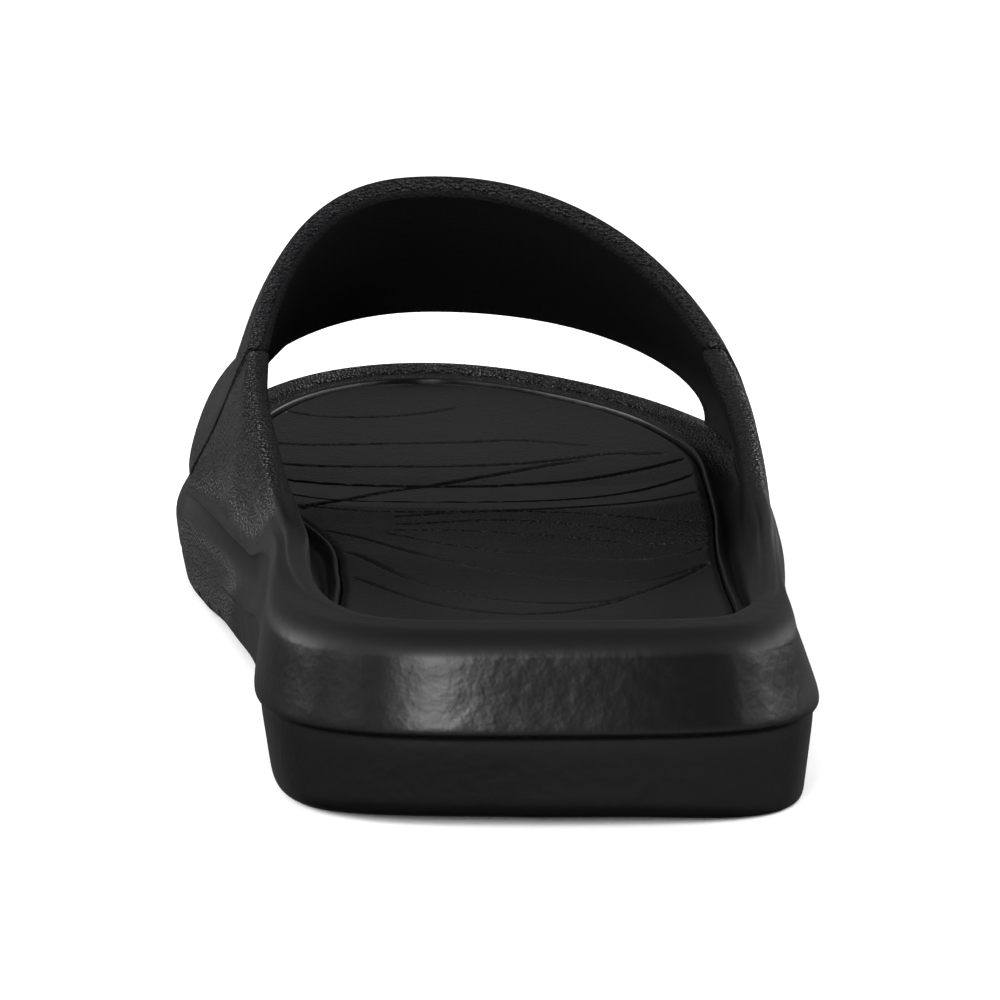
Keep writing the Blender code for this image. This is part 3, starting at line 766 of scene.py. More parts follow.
def beadShare(y):
    # How far up the upper face the bead's groove lies
    rise = max(rimHeight(y) - beadUp(y) - creaseUp(y), 0.0001)
    return 1.0 - min(moulding["beadDrop"] / rise, 0.2)


def underBead(y):
    return mix(0.66, beadShare(y), 0.7)


def facetInset(side, y, share):
    return mix(cornerInset(side, y), belowRidgeInset(side, y), share)


def facetHeight(x, y, share):
    low = treadHeight(x, y) + sole["cornerHeight"]
    return mix(low, ridgeUp(y) - sole["ridgeStep"], share)


def ridgeLine(side, y):
    # The raised line along the medial wing, strongest at its middle
    if side == lateral:
        return 0.0
    return moulding["creaseRidge"] * band(0.31, 0.38, 0.68, 0.75, shareOf(y))


def ridgeSide(side, y, up):
    # The raised line's foot just above or below the crease
    here = creaseInset(side, y)
    if up > 0.0:
        return mix(here, outerInset(side, y, 0.10), 0.5)
    return mix(here, bulgeInset(side, y), 0.15)


def rimTop(y, down):
    return rimHeight(y) - rimFall(y) - down * rimRound(y)


def rimEdge(side, y):
    # The rim's round, kept under half its wall
    return min(rimRound(y), 0.36 * rimWall(side, y))


def smoothed(shape, side, y):
    # A line of the sole evened out over two centimetres of its length
    spots = [min(max(y + step * 0.005, 0.0), sole["length"]) for step in (-2, -1, 0, 1, 2)]
    return sum(shape(side, spot) for spot in spots) / len(spots)


def softFoot(side, y):
    if not sole["heelRound"] < y < 0.72 * sole["length"]:
        return wallFoot(side, y)
    return smoothed(wallFoot, side, y)


def filletSize(side, y):
    width = bedInset(side, y) - moulding["lipWidth"] - softFoot(side, y)
    return min(max(0.8 * width, 0.0002), moulding["fillet"])


def filletHeight(y, share):
    rise = rimTop(y, 1.0) - gutterHeight(y)
    return gutterHeight(y) + min(moulding["fillet"], 0.4 * rise) * share


def facetRing(share):
    return (lambda s, y: facetInset(s, y, share), lambda x, y: facetHeight(x, y, share))


def outerRing(share):
    return (lambda s, y: outerInset(s, y, share), lambda x, y: outerHeight(y, share))


def visualRings():
    # Each ring: an inset from the widest line, and a height
    soft = moulding["lipSoft"]
    half = moulding["ridgeHalf"]
    return [
        (treadInset, treadHeight),
        (lambda s, y: mix(treadInset(s, y), cornerInset(s, y), 0.62),
         lambda x, y: treadHeight(x, y) + 0.25 * sole["cornerHeight"]),
        (cornerInset, lambda x, y: treadHeight(x, y) + sole["cornerHeight"]),
        facetRing(0.14),
        facetRing(0.55),
        facetRing(0.90),
        (lambda s, y: belowRidgeInset(s, y) + moulding["stepGroove"],
         lambda x, y: ridgeUp(y) - sole["ridgeStep"]),
        (lambda s, y: mix(ridgeInset(s, y), belowRidgeInset(s, y), 0.35),
         lambda x, y: ridgeUp(y) - 0.9 * soft),
        (ridgeInset, lambda x, y: ridgeUp(y) + 0.2 * soft),
        (lambda s, y: mix(ridgeInset(s, y), bulgeInset(s, y), 0.28),
         lambda x, y: mix(ridgeUp(y), bulgeUp(y), 0.30)),
        (bulgeInset, lambda x, y: bulgeUp(y)),
        (lambda s, y: ridgeSide(s, y, -1.0), lambda x, y: creaseUp(y) - half),
        (lambda s, y: creaseInset(s, y) - ridgeLine(s, y), lambda x, y: creaseUp(y)),
        (lambda s, y: ridgeSide(s, y, 1.0), lambda x, y: creaseUp(y) + half),
        outerRing(0.40),
        outerRing(0.68),
        (lambda s, y: outerInset(s, y, underBead(y)), lambda x, y: outerHeight(y, underBead(y))),
        (lambda s, y: outerInset(s, y, beadShare(y)) + 0.4 * beadStrength(y),
         lambda x, y: outerHeight(y, beadShare(y))),
        (lambda s, y: rimOuter(s, y) + beadStrength(y) - 0.15 * noBead(y) * rimRound(y),
         lambda x, y: rimHeight(y) - beadUp(y)),
        (rimOuter, lambda x, y: rimHeight(y) - 0.62 * beadUp(y)),
        (lambda s, y: rimOuter(s, y) + 0.30 * rimEdge(s, y), lambda x, y: rimHeight(y) - 0.16 * beadUp(y)),
        (lambda s, y: rimOuter(s, y) + 1.05 * rimEdge(s, y), lambda x, y: rimHeight(y)),
        (lambda s, y: rimInner(s, y) - 1.05 * rimEdge(s, y), lambda x, y: rimTop(y, 0.0)),
        (lambda s, y: rimInner(s, y) - 0.25 * rimEdge(s, y), lambda x, y: rimTop(y, 0.3)),
        (rimInner, lambda x, y: rimTop(y, 1.1)),
        (innerMiddle, lambda x, y: mix(rimTop(y, 1.0), gutterHeight(y), 0.5)),
        (lambda s, y: mix(innerMiddle(s, y), softFoot(s, y), 0.7), lambda x, y: filletHeight(y, 1.1)),
        (lambda s, y: softFoot(s, y) + 0.28 * filletSize(s, y), lambda x, y: filletHeight(y, 0.30)),
        (lambda s, y: softFoot(s, y) + filletSize(s, y), lambda x, y: gutterHeight(y)),
        (lambda s, y: bedInset(s, y) - moulding["lipWidth"], lambda x, y: gutterHeight(y)),
        (lambda s, y: bedInset(s, y) - 0.66 * moulding["lipWidth"],
         lambda x, y: mix(gutterHeight(y), lipHeight(y), 0.75)),
        (lambda s, y: bedInset(s, y) - 0.36 * moulding["lipWidth"],
         lambda x, y: lipHeight(y) + moulding["lipRise"]),
        (lambda s, y: bedInset(s, y) - 0.00015, lambda x, y: lipHeight(y) + 0.6 * moulding["lipRise"]),
        (bedInset, lambda x, y: lipHeight(y) - 0.0004),
        (bedInset, lambda x, y: recessHeight(y) + moulding["bedPlay"]),
    ]


def placedRings(columns, rings):
    placed = []
    for inset, height in rings:
        row = []
        for side, x, y, nx, ny in columns:
            step = inset(side, y)
            px, py = x + nx * step, y + ny * step
            row.append(Vector((px, py, height(px, py))))
        placed.append(row)
    return placed


def wrapShell(columns, placed):
    # A grid bent round the shoe, ring over ring, with its seam merged at the heel
    count = len(columns)
    bm = newGrid(count, len(placed) - 1)
    ringNumber = bm.verts.layers.float.new("ring")
    for vert, column, ring in gridSpots(bm, count, len(placed) - 1):
        vert.co = placed[ring][column % count]
        vert[ringNumber] = ring
    return bm


def crossRows(bm, placedRing, height):
    # Fills a ring with rows of faces from the lateral to the medial side
    half, strips = len(placedRing) // 2, counts["treadStrips"]
    extra = newGrid(half, strips)
    for vert, row, strip in gridSpots(extra, half, strips):
        spot = placedRing[row].lerp(placedRing[-row], strip / strips)
        if 0 < strip < strips and 0 < row < half:
            spot.z = height(spot)
        vert.co = spot
    joinInto(bm, extra)


def treadGrooves():
    # Where each groove between two lugs lies, and how far it reaches to both sides
    for row in ("heel", "ball"):
        start, stop = tread[row + "GroovesAt"]
        y = start * sole["length"]
        while y < stop * sole["length"]:
            yield y, tread[row + "GrooveReach"]
            y += tread["lugPitch"]


def makeTreadCutter():
    # One wavy bar for each groove
    whole = bmesh.new()
    steps = counts["waveSteps"]
    for place, reach in treadGrooves():
        bar = newGrid(steps, 1)
        low = ground(place) - 2 * tread["grooveDepth"]
        high = ground(place) + waist(place) + tread["grooveDepth"]
        for vert, n, edge in gridSpots(bar, steps, 1):
            wave = tread["grooveWave"] * math.cos(4 * math.pi * n / steps) / 2
            y = place + wave + (edge - 0.5) * tread["grooveWidth"]
            vert.co = Vector((mix(-reach, reach, n / steps), y, low))
        lifted = bmesh.ops.extrude_face_region(bar, geom=bar.faces[:])["geom"]
        raised = [item for item in lifted if isinstance(item, bmesh.types.BMVert)]
        bmesh.ops.translate(bar, verts=raised, vec=(0.0, 0.0, high - low))
        turnOut(bar)
        joinInto(whole, bar)
    return addObject("tread_bars", whole)


def makeSole():
    columns = allColumns()
    placed = placedRings(columns, visualRings())
    bm = wrapShell(columns, placed)
    crossRows(bm, placed[0], lambda p: treadHeight(p.x, p.y))
    crossRows(bm, placed[-1], lambda p: recessHeight(p.y) + moulding["bedPlay"])
    mergeSeams(bm, 0.00002, 0.000005)
    turnOut(bm)
    piece = addObject("moulded_sole", bm)
    soften(piece)
    bars = makeTreadCutter()
    cut = piece.modifiers.new("tread", "BOOLEAN")
    cut.operation = "DIFFERENCE"
    cut.solver = "EXACT"
    cut.object = bars
    applyModifiers(piece)
    bpy.data.objects.remove(bars, do_unlink=True)
    piece.data.shade_smooth()
    piece.data.set_sharp_from_angle(angle=math.radians(50))
    return piece


# The strap

def jointY(height):
    # The slanted joint with the wing, moved forward by the clearance
    drop = sole["wingHeight"] - strap["jointHeight"]
    t = (sole["wingHeight"] - height) / drop
    run = (sole["jointAt"] - sole["wingAt"]) * sole["length"]
    slant = math.hypot(run, drop) / drop
    return placeOf("wingAt") + run * t + footbed["clearance"] * slant


def rearY(height, crown):
    # The rear edge: up the joint, then free to the crown
    if height <= sole["wingHeight"]:
        return jointY(height)
    t = min((height - sole["wingHeight"]) / (crown - sole["wingHeight"]), 1.0)
    corner = jointY(sole["wingHeight"])
    return mix(corner, strap["crownRearAt"] * sole["length"], t ** 0.8)


def rearPoint(side, angle, depth):
    # Where a line along the arch meets the rear edge, sought from the wing's peak to past the joint
    crown = strap["instepHeight"] - depth
    start, stop = placeOf("wingAt"), placeOf("jointAt") + 0.001
    return solve(start, stop, lambda y: rearY(archPoint(side, y, angle, depth)[1], crown) > y)


def frontY(angle):
    return mix(strap["footFrontAt"], strap["crownFrontAt"], math.sin(angle)) * sole["length"]


def strapAngles(side, depth):
    # Angles up one side, with one exactly at the wing's peak
    corner = archAngle(side, jointY(sole["wingHeight"]), sole["wingHeight"], depth)
    low = [corner * n / counts["wing"] for n in range(counts["wing"])]
    high = [mix(corner, math.pi / 2, n / counts["crown"]) for n in range(counts["crown"] + 1)]
    near = [corner * 0.97, corner * 1.03]
    return sorted(low + high + near)


def strapPoint(side, angle, depth, y):
    # The strap's foot stands a clearance above the sole's rim
    x, z = archPoint(side, y, angle, depth)
    return x, y, z + footbed["clearance"] * math.cos(angle) ** 8


def jointGape(side, height):
    # The joint is nearly shut outside the little toe and at both peaks, with a slit under the medial one
    shut = 1.0 if side == lateral else ease(0.040, 0.050, height)
    shut *= 1.0 - ease(sole["wingHeight"], sole["wingHeight"] + 0.008, height)
    slit = 0.0 if side == lateral else band(0.006, 0.012, 0.017, 0.024, sole["wingHeight"] - height)
    return moulding["slit"] * slit - moulding["shut"] * shut


def strapLoop(side, outer, inner):
    # One section lengthwise: outer face forward, front edge, inner face back, rear edge
    wall, soft, steps = strap["wall"], strap["round"], counts["strap"]
    rears = (rearPoint(side, outer, 0.0), rearPoint(side, inner, wall))
    fronts = (frontY(outer), frontY(inner))
    gape = jointGape(side, archPoint(side, rears[0], outer, 0.0)[1])

    def at(share, depth, inward):
        # A point at a share of the way forward, at a depth and drawn in from the edges
        part = depth / wall
        rear = mix(rears[0], rears[1], part) + gape + inward
        front = mix(fronts[0], fronts[1], part) - inward
        return Vector(strapPoint(side, mix(outer, inner, part), depth, mix(rear, front, share)))

    def face(depth):
        middle = [at(n / steps, depth, 3.0 * soft) for n in range(steps + 1)]
        return [at(0.0, depth, soft)] + middle + [at(1.0, depth, soft)]

    outside = [(0.35 * soft, 0.3 * soft), (1.2 * soft, 0.0)]
    inside = [(wall - 1.2 * soft, 0.0), (wall - 0.35 * soft, 0.3 * soft)]
    parting = [(0.58 * wall, 0.0), (0.64 * wall, moulding["partLine"]), (0.70 * wall, 0.0)]
    front = [at(1.0, depth, inward) for depth, inward in outside + inside]
    rear = [at(0.0, depth, inward) for depth, inward in outside + parting + inside]
    return face(0.0) + front + face(wall)[::-1] + rear[::-1]


def middleLine(loop):
    # Each vertex of a section meets its partner on the other face half way
    last = 2 * (counts["strap"] + 3) + 3
    return [p.lerp(loop[last - k], 0.5) for k, p in enumerate(loop)]


def closedEnd(loop):
    # An end of the strap, drawn in a little and then shut on its own middle line
    centre = middleLine(loop)
    return [[p.lerp(c, 0.12) for p, c in zip(loop, centre)], centre]


def makeStrap():
    sides = []
    for side in (medial, lateral):
        pairs = zip(strapAngles(side, 0.0), strapAngles(side, strap["wall"]))
        sides.append([strapLoop(side, outer, inner) for outer, inner in pairs])
    loops = sides[0] + sides[1][-2::-1]
    rows = closedEnd(loops[0])[::-1] + loops + closedEnd(loops[-1])
    count = len(loops[0])
    bm = newGrid(len(rows) - 1, count)
    ringNumber = bm.verts.layers.float.new("ring")
    for vert, section, k in gridSpots(bm, len(rows) - 1, count):
        vert.co = rows[section][k % count]
        vert[ringNumber] = k % count
    mergeSeams(bm, 0.00001, 0.000002)
    turnOut(bm)
    piece = addObject("arched_strap", bm)
    soften(piece)
    applyModifiers(piece)
    piece.data.shade_smooth()
    return piece


# The footbed

# Fine grooves pressed across the footbed
bedGrooves = dict(
    width=0.0013,
    depth=0.0011,
    wall=1.9,              # how steep a groove's walls are, 1 being a plain V
    # painted shade: the grooves' walls are painted dark as well as dull
    shade=2.2,             # how soon a groove's walls are wholly dull
    tail=0.05,             # a groove that ends on the footbed runs out over this share of its width
    bedWidth=0.07,         # the width that a groove's slope is worked out with
    rows=700,
    strips=128,
    # Places across the footbed, 0 lateral and 1 medial, and metres from the heel
    lines=[
        [(0.98, 0.2563), (0.84, 0.2562), (0.665, 0.2576), (0.50, 0.2606), (0.40, 0.2640)],
        [(0.96, 0.2330), (0.73, 0.2372), (0.47, 0.2388), (0.33, 0.2398), (0.18, 0.2345)],
        [(0.96, 0.2180), (0.73, 0.2208), (0.54, 0.2212), (0.37, 0.2232),
         (0.25, 0.2262), (0.16, 0.2280), (0.05, 0.2240)],
        [(0.96, 0.2070), (0.78, 0.2064), (0.51, 0.2060), (0.39, 0.2074),
         (0.27, 0.2100), (0.15, 0.2142), (0.02, 0.2180)],
        [(0.96, 0.1900), (0.85, 0.1845), (0.69, 0.1848), (0.45, 0.1868),
         (0.29, 0.1900), (0.16, 0.1957), (0.02, 0.2055)],
        [(0.96, 0.1690), (0.93, 0.1733), (0.80, 0.1869), (0.68, 0.2010),
         (0.57, 0.2080), (0.42, 0.2163), (0.30, 0.2223), (0.22, 0.2246)],
        [(0.97, 0.1745), (0.80, 0.1709), (0.63, 0.1727), (0.38, 0.1777),
         (0.26, 0.1804), (0.13, 0.1831), (0.02, 0.1862)],
        [(0.76, 0.1640), (0.71, 0.1668), (0.55, 0.1734), (0.42, 0.1748),
         (0.31, 0.1727), (0.19, 0.1663), (0.02, 0.1530)],
        [(0.78, 0.1545), (0.73, 0.1560), (0.57, 0.1630), (0.44, 0.1637),
         (0.32, 0.1592), (0.20, 0.1512), (0.02, 0.1395)],
        [(0.80, 0.1470), (0.75, 0.1484), (0.60, 0.1504), (0.47, 0.1489),
         (0.34, 0.1451), (0.21, 0.1386), (0.08, 0.1346), (0.02, 0.1360)],
        [(0.83, 0.1440), (0.78, 0.1398), (0.71, 0.1348), (0.59, 0.1303), (0.45, 0.1274),
         (0.32, 0.1238), (0.18, 0.1222), (0.08, 0.1240), (0.02, 0.1272)],
        [(0.97, 0.1440), (0.92, 0.1391), (0.82, 0.1259), (0.69, 0.1163), (0.56, 0.1098),
         (0.42, 0.1057), (0.28, 0.1026), (0.16, 0.1043), (0.02, 0.1130)],
        [(0.98, 0.1230), (0.95, 0.1200), (0.84, 0.1036), (0.71, 0.0917), (0.57, 0.0850),
         (0.44, 0.0831), (0.30, 0.0855), (0.15, 0.0980), (0.02, 0.1120)],
        [(0.97, 0.0990), (0.90, 0.0913), (0.80, 0.0820), (0.67, 0.0754),
         (0.53, 0.0729), (0.39, 0.0768), (0.24, 0.0880)],
    ],
)


def bedSurface(y, across):
    # Cupped across, with a low arch on the medial side
    sag = 1.0 - (2.0 * across - 1.0) ** 4
    fill = read(bedDip, y, "arch") * ease(0.35, 0.95, across)
    dip = footbed["cupDepth"] * read(bedDip, y, "dip") * sag * (1.0 - fill)
    return lipHeight(y) - footbed["clearance"] - dip


def curveThrough(points, at):
    # A smooth curve through a groove's places, read at a share of the footbed's width
    rows = sorted(points)
    if at < rows[0][0] or at > rows[-1][0]:
        return None
    i = max(k for k in range(len(rows) - 1) if rows[k][0] <= at)
    (a0, y0), (a1, y1) = rows[max(i - 1, 0)], rows[i]
    (a2, y2), (a3, y3) = rows[i + 1], rows[min(i + 2, len(rows) - 1)]
    span = a2 - a1
    t = (at - a1) / span
    start = (y2 - y0) / (a2 - a0) * span
    end = (y3 - y1) / (a3 - a1) * span
    return ((2 * t ** 3 - 3 * t * t + 1) * y1 + (t ** 3 - 2 * t * t + t) * start
            + (-2 * t ** 3 + 3 * t * t) * y2 + (t ** 3 - t * t) * end)


def groovesAt(across):
    # Place, steepness and strength of each groove at a share of the footbed's width
    step, tail = 0.01, bedGrooves["tail"]
    grooves = []
    for points in bedGrooves["lines"]:
        here = curveThrough(points, across)
        if here is None:
            continue
        low, high = min(points)[0], max(points)[0]
        ahead = curveThrough(points, min(across + step, high))
        back = curveThrough(points, max(across - step, low))
        slope = (ahead - back) / (2 * step * bedGrooves["bedWidth"])
        start = (across - low) / tail if low > tail else 1.0
        end = (high - across) / tail if high < 1.0 - tail else 1.0
        grooves.append((here, math.hypot(1.0, slope), max(min(1.0, start, end), 0.0)))
    return grooves


def edgeLine(columns, inset, height, count):
    # The footbed's edge, lateral and medial, at even steps from heel to toe
    half = len(columns) // 2
    ring = placedRings(columns, [(inset, height)])[0]
    sides = []
    for line in (ring[:half + 1], [ring[-k] for k in range(half + 1)]):
        sides.append([line[k].lerp(line[k + 1], part) for k, part in evenStops(line, count)])
    return sides


def bedUnder(y):
    return recessHeight(y) + footbed["clearance"]


def makeFootbed():
    rows, strips = bedGrooves["rows"], bedGrooves["strips"]
    edge = lambda s, y: bedInset(s, y) + footbed["clearance"]
    right, left = edgeLine(allColumns(), edge, lambda x, y: lipHeight(y) - footbed["clearance"], rows)
    grooves = [groovesAt(n / strips) for n in range(strips + 1)]
    bm = newGrid(rows, strips)
    dullAndShadeLayer = bm.verts.layers.float.new("dullAndShade")
    for vert, row, strip in gridSpots(bm, rows, strips):
        across = strip / strips
        spot = right[row].lerp(left[row], across)
        dent = 0.0
        for place, steep, strength in grooves[strip]:
            off = abs(spot.y - place) / steep / (bedGrooves["width"] / 2)
            if off < 1.0:
                dent = max(dent, strength * min(1.0, bedGrooves["wall"] * (1.0 - off)))
        toEdge = min(across, 1.0 - across) * (right[row] - left[row]).length
        roll = footbed["round"] * (1.0 - ease(0.0, 2 * footbed["round"], toEdge)) ** 2
        spot.z = bedSurface(spot.y, across) - dent * bedGrooves["depth"] - roll
        vert.co = spot
        # Painted shade: the grooves and the footbed under the heel are painted darker, and duller
        heelDullAndShade = footbed["heelDullAndShade"] * (1.0 - ease(0.26, 0.44, shareOf(spot.y)))
        vert[dullAndShadeLayer] = max(min(bedGrooves["shade"] * dent, 1.0), heelDullAndShade)
    mergeSeams(bm, 0.00002, 0.000002)
    rim = [e for e in bm.edges if e.is_boundary]
    for item in bmesh.ops.extrude_edge_only(bm, edges=rim)["geom"]:
        if isinstance(item, bmesh.types.BMVert):
            item.co.z = bedUnder(item.co.y)
    floor = newGrid(rows, 1)
    for vert, row, strip in gridSpots(floor, rows, 1):
        spot = left[row] if strip else right[row]
        vert.co = Vector((spot.x, spot.y, bedUnder(spot.y)))
    joinInto(bm, floor)
    bmesh.ops.remove_doubles(bm, verts=bm.verts[:], dist=0.00002)
    bmesh.ops.holes_fill(bm, edges=[e for e in bm.edges if e.is_boundary], sides=0)
    turnOut(bm)
    piece = addObject("grooved_footbed", bm)
    piece.data.shade_smooth()
    piece.data.set_sharp_from_angle(angle=math.radians(60))
    return piece


# Materials

def linear(code):
    # A sRGB hex colour as the linear values that the shader takes
    parts = [int(code[k:k + 2], 16) / 255 for k in (1, 3, 5)]
    return [p / 12.92 if p <= 0.04045 else ((p + 0.055) / 1.055) ** 2.4 for p in parts] + [1.0]


def addNode(tree, kind, settings=None, links=None):
    # Adds one node, sets its sockets, by name or number, and its properties, and links its inputs
    node = tree.nodes.new(kind)
    for key, value in (settings or {}).items():
        if isinstance(key, int) or key in node.inputs.keys():
            node.inputs[key].default_value = value
        else:
            setattr(node, key, value)
    for key, source in (links or {}).items():
        tree.links.new(source, node.inputs[key])
    return node


# A Mix node's sockets share their names, so they go by number
numberA, numberB, colourA, colourB = 2, 3, 6, 7
mixedNumber, mixedColour = 0, 2


foam = dict(
    ior=1.31,
    grainCell=0.00060,     # spark grain of the mould, about 0.5 mm, drawn a little coarser to show
    grainDepth=0.0010,
    peelCell=0.0026,       # soft unevenness of the glossy skin
    peelDepth=0.0004,
    peelStrength=0.26,
    cloudScale=60.0,       # the gloss differs in soft clouds of about 17 mm
    cloudRough=0.12,
    dullRough=0.95,
    # painted shade: the near black that shaded hollows and faces are painted
    shadeColour="#030303",
)

# The skin that the mould leaves: on sole and strap, and on the footbed
satin = dict(colour="#070708", rough=0.24, grainColour="#171618", grainRough=0.23, grainStrength=0.9)
matt = dict(colour="#0e0d0f", rough=0.32, grainColour="#151416", grainRough=0.36, grainStrength=0.6)


def startMaterial(name):
    material = bpy.data.materials.new(name)
    material.use_nodes = True
    tree = material.node_tree
    tree.nodes.clear()
    output = tree.nodes.new("ShaderNodeOutputMaterial")
    shader = tree.nodes.new("ShaderNodeBsdfPrincipled")
    tree.links.new(shader.outputs["BSDF"], output.inputs["Surface"])
    return material, tree, shader


def mouldedFoam(name, skin):
    # Compression-moulded EVA foam: a satin skin where the mould is polished, a sparkling
    # pebble grain where it is spark-eroded. The painted value "grain" says which is where,
    # and a second painted value says where the skin keeps no gloss and where its colour is
    # darkened to near black, as painted shade for hollows and faces turned from the light.
    material, tree, shader = startMaterial(name)
    shader.inputs["IOR"].default_value = foam["ior"]
    where = addNode(tree, "ShaderNodeTexCoord").outputs["Object"]
    grain = addNode(tree, "ShaderNodeAttribute", {"attribute_name": "grain"}).outputs["Fac"]
    dullAndShade = addNode(tree, "ShaderNodeAttribute", {"attribute_name": "dullAndShade"}).outputs["Fac"]
    cells = addNode(tree, "ShaderNodeTexVoronoi", {"Scale": 1.0 / foam["grainCell"]}, {"Vector": where})
    peel = addNode(tree, "ShaderNodeTexNoise", {"Scale": 1.0 / foam["peelCell"], "Detail": 2.0},
                   {"Vector": where})
    clouds = addNode(tree, "ShaderNodeTexNoise", {"Scale": foam["cloudScale"], "Detail": 3.0},
                     {"Vector": where})
    masked = addNode(tree, "ShaderNodeMath", {"operation": "MULTIPLY"},
                     {0: cells.outputs["Distance"], 1: grain})
    soft = addNode(tree, "ShaderNodeBump",
                   {"Strength": foam["peelStrength"], "Distance": foam["peelDepth"]},
                   {"Height": peel.outputs["Fac"]})
    bump = addNode(tree, "ShaderNodeBump",
                   {"Strength": skin["grainStrength"], "Distance": foam["grainDepth"]},
                   {"Height": masked.outputs[0], "Normal": soft.outputs["Normal"]})
    rough = addNode(tree, "ShaderNodeMapRange", {"To Min": skin["rough"], "To Max": skin["grainRough"]},
                    {"Value": grain})
    cloudy = addNode(tree, "ShaderNodeMath", {"operation": "MULTIPLY_ADD", 1: foam["cloudRough"]},
                     {0: clouds.outputs["Fac"], 2: rough.outputs["Result"]})
    level = addNode(tree, "ShaderNodeMix", {"data_type": "FLOAT", numberB: foam["dullRough"]},
                    {"Factor": dullAndShade, numberA: cloudy.outputs[0]})
    colours = {colourA: linear(skin["colour"]), colourB: linear(skin["grainColour"])}
    tint = addNode(tree, "ShaderNodeMix", {"data_type": "RGBA", **colours}, {"Factor": grain})
    # Painted shade: where the second painted value is high, the colour darkens to near black
    shade = addNode(tree, "ShaderNodeMix", {"data_type": "RGBA", colourB: linear(foam["shadeColour"])},
                    {"Factor": dullAndShade, colourA: tint.outputs[mixedColour]})
    tree.links.new(bump.outputs["Normal"], shader.inputs["Normal"])
    tree.links.new(level.outputs[mixedNumber], shader.inputs["Roughness"])
    tree.links.new(shade.outputs[mixedColour], shader.inputs["Base Color"])
    return material


def paint(piece, name, rule):
    # Stores a value for each vertex: how grainy the mould leaves it, or how dull and how dark its painted
    # shade is
    values = piece.data.attributes.new(name, "FLOAT", "POINT")
    rings = piece.data.attributes.get("ring")
    for n, vert in enumerate(piece.data.vertices):
        along = shareOf(vert.co.y + sole["length"] / 2)
        values.data[n].value = rule(along, rings.data[n].value if rings else 0.0)


# The sole's rings run from the tread's edge (0) over the step (8), the crease (12) and the rim's
# bead (18 to 24) to the gutter (29) and the recess's floor (34)

def soleGrain(along, ring):
    # Spark grain on the wings, the rim's bead, the toe border and the forefoot's lower wall
    wing = band(12.4, 14.5, 18.0, 19.0, ring) * ease(0.33, 0.52, along)
    bead = band(18.0, 19.0, 23.0, 24.0, ring) * ease(0.36, 0.52, along)
    wall = band(1.0, 2.0, 9.0, 10.2, ring) * ease(0.42, 0.54, along)
    toe = band(9.0, 12.0, 29.0, 30.0, ring) * ease(0.70, 0.76, along)
    return max(wing, bead, wall, toe)


def soleDullAndShade(along, ring):
    # The collar's rolled top is dull and painted darker as painted shade, and so are the scoop
    # under the crease, the inner half of the wings' rim and the wall inside it
    top = 0.85 * band(12.2, 14.8, 24.0, 26.0, ring) * (1.0 - ease(0.16, 0.40, along))
    scoop = 0.6 * band(9.0, 10.5, 11.5, 12.0, ring) * band(0.26, 0.40, 0.62, 0.70, along)
    inner = 0.6 * band(20.6, 21.6, 24.0, 25.0, ring) * band(0.30, 0.40, 0.58, 0.62, along)
    wall = 0.5 * band(24.0, 25.0, 28.0, 29.0, ring)
    return max(top, scoop, inner, wall)


def strapDullAndShade(along, ring):
    # Painted shade: dull and darkened within, and in two bands of the rear edge beside its bright bead
    inner = counts["strap"] + 7
    rear = inner + counts["strap"] + 3
    if inner <= ring < rear + 1.5:
        return 0.95
    if ring >= rear + 1.5:
        return 0.75 * (1.0 - ease(rear + 2.0, rear + 3.5, ring)) + 0.4 * ease(rear + 5.0, rear + 6.0, ring)
    return 0.0


def strapGrain(along, ring):
    # Grain outside and on the edges, a plainer skin inside
    inner = counts["strap"] + 7
    if inner + 1 < ring < inner + counts["strap"] + 2:
        return 0.15
    return 1.0


def bedGrain(along, ring):
    # A coarser band under the waist
    return 0.12 + 0.88 * band(0.43, 0.49, 0.60, 0.62, along)


# Stage, light and camera

studio = dict(
    floor="#f6f6f6",
    floorRough=0.8,
    floorHalf=6.0,
    white=1.15,
    # What the foam mirrors: a direction's share where each tone starts and ends, and its two levels
    tones=dict(
        back=(0.2, 0.9, 0.05, 0.15),         # the dark room, and the pale sweep behind the shoe
        floor=(-0.9, 0.5, 0.72, 0.10),       # the floor before the heel and beyond
        under=(-0.36, -0.74, 1.0, 0.08),     # the floor in the shoe's own shade
        horizon=(0.02, -0.02, 0.0, 1.0),
    ),
    boxes=table("name place target wide high radiance",
        ("heel_box", (-0.28, -1.18, 0.33), (0.0, -0.10, 0.02), 0.24, 0.50, 25.0),
        ("right_box", (0.90, 0.25, 0.35), (0.0, 0.00, 0.03), 1.50, 0.50, 4.6),
        ("right_back_box", (0.88, -0.45, 0.35), (0.0, -0.10, 0.03), 0.60, 0.50, 3.4),
        ("left_box", (-0.90, -0.35, 0.80), (0.0, 0.00, 0.03), 0.80, 0.60, 2.2),
        ("left_front_box", (-1.05, 0.30, 0.40), (0.0, 0.00, 0.03), 0.90, 0.50, 7.5),
        ("left_back_box", (-0.90, -0.60, 0.35), (0.0, -0.10, 0.03), 0.50, 0.50, 2.6),
        ("top_box", (0.0, 0.45, 1.15), (0.0, 0.05, 0.03), 0.60, 0.50, 1.6),
    ),
    camera=(-0.01925, -0.845, 0.1654),
    yaw=1.5,               # degrees to the right
    pitch=9.44,            # degrees down
    lens=177.43,           # millimetres, on a frame 36 mm wide
    frameWidth=36.0,
)


def addLight(name, place, target, wide, high, radiance):
    data = bpy.data.lights.new(name, "AREA")
    data.shape = "RECTANGLE"
    data.size = wide
    data.size_y = high
    data.energy = radiance * math.pi * wide * high
    lamp = bpy.data.objects.new(name, data)
    lamp.location = place
    lamp.rotation_euler = (Vector(target) - Vector(place)).to_track_quat("-Z", "Y").to_euler()
    bpy.context.collection.objects.link(lamp)


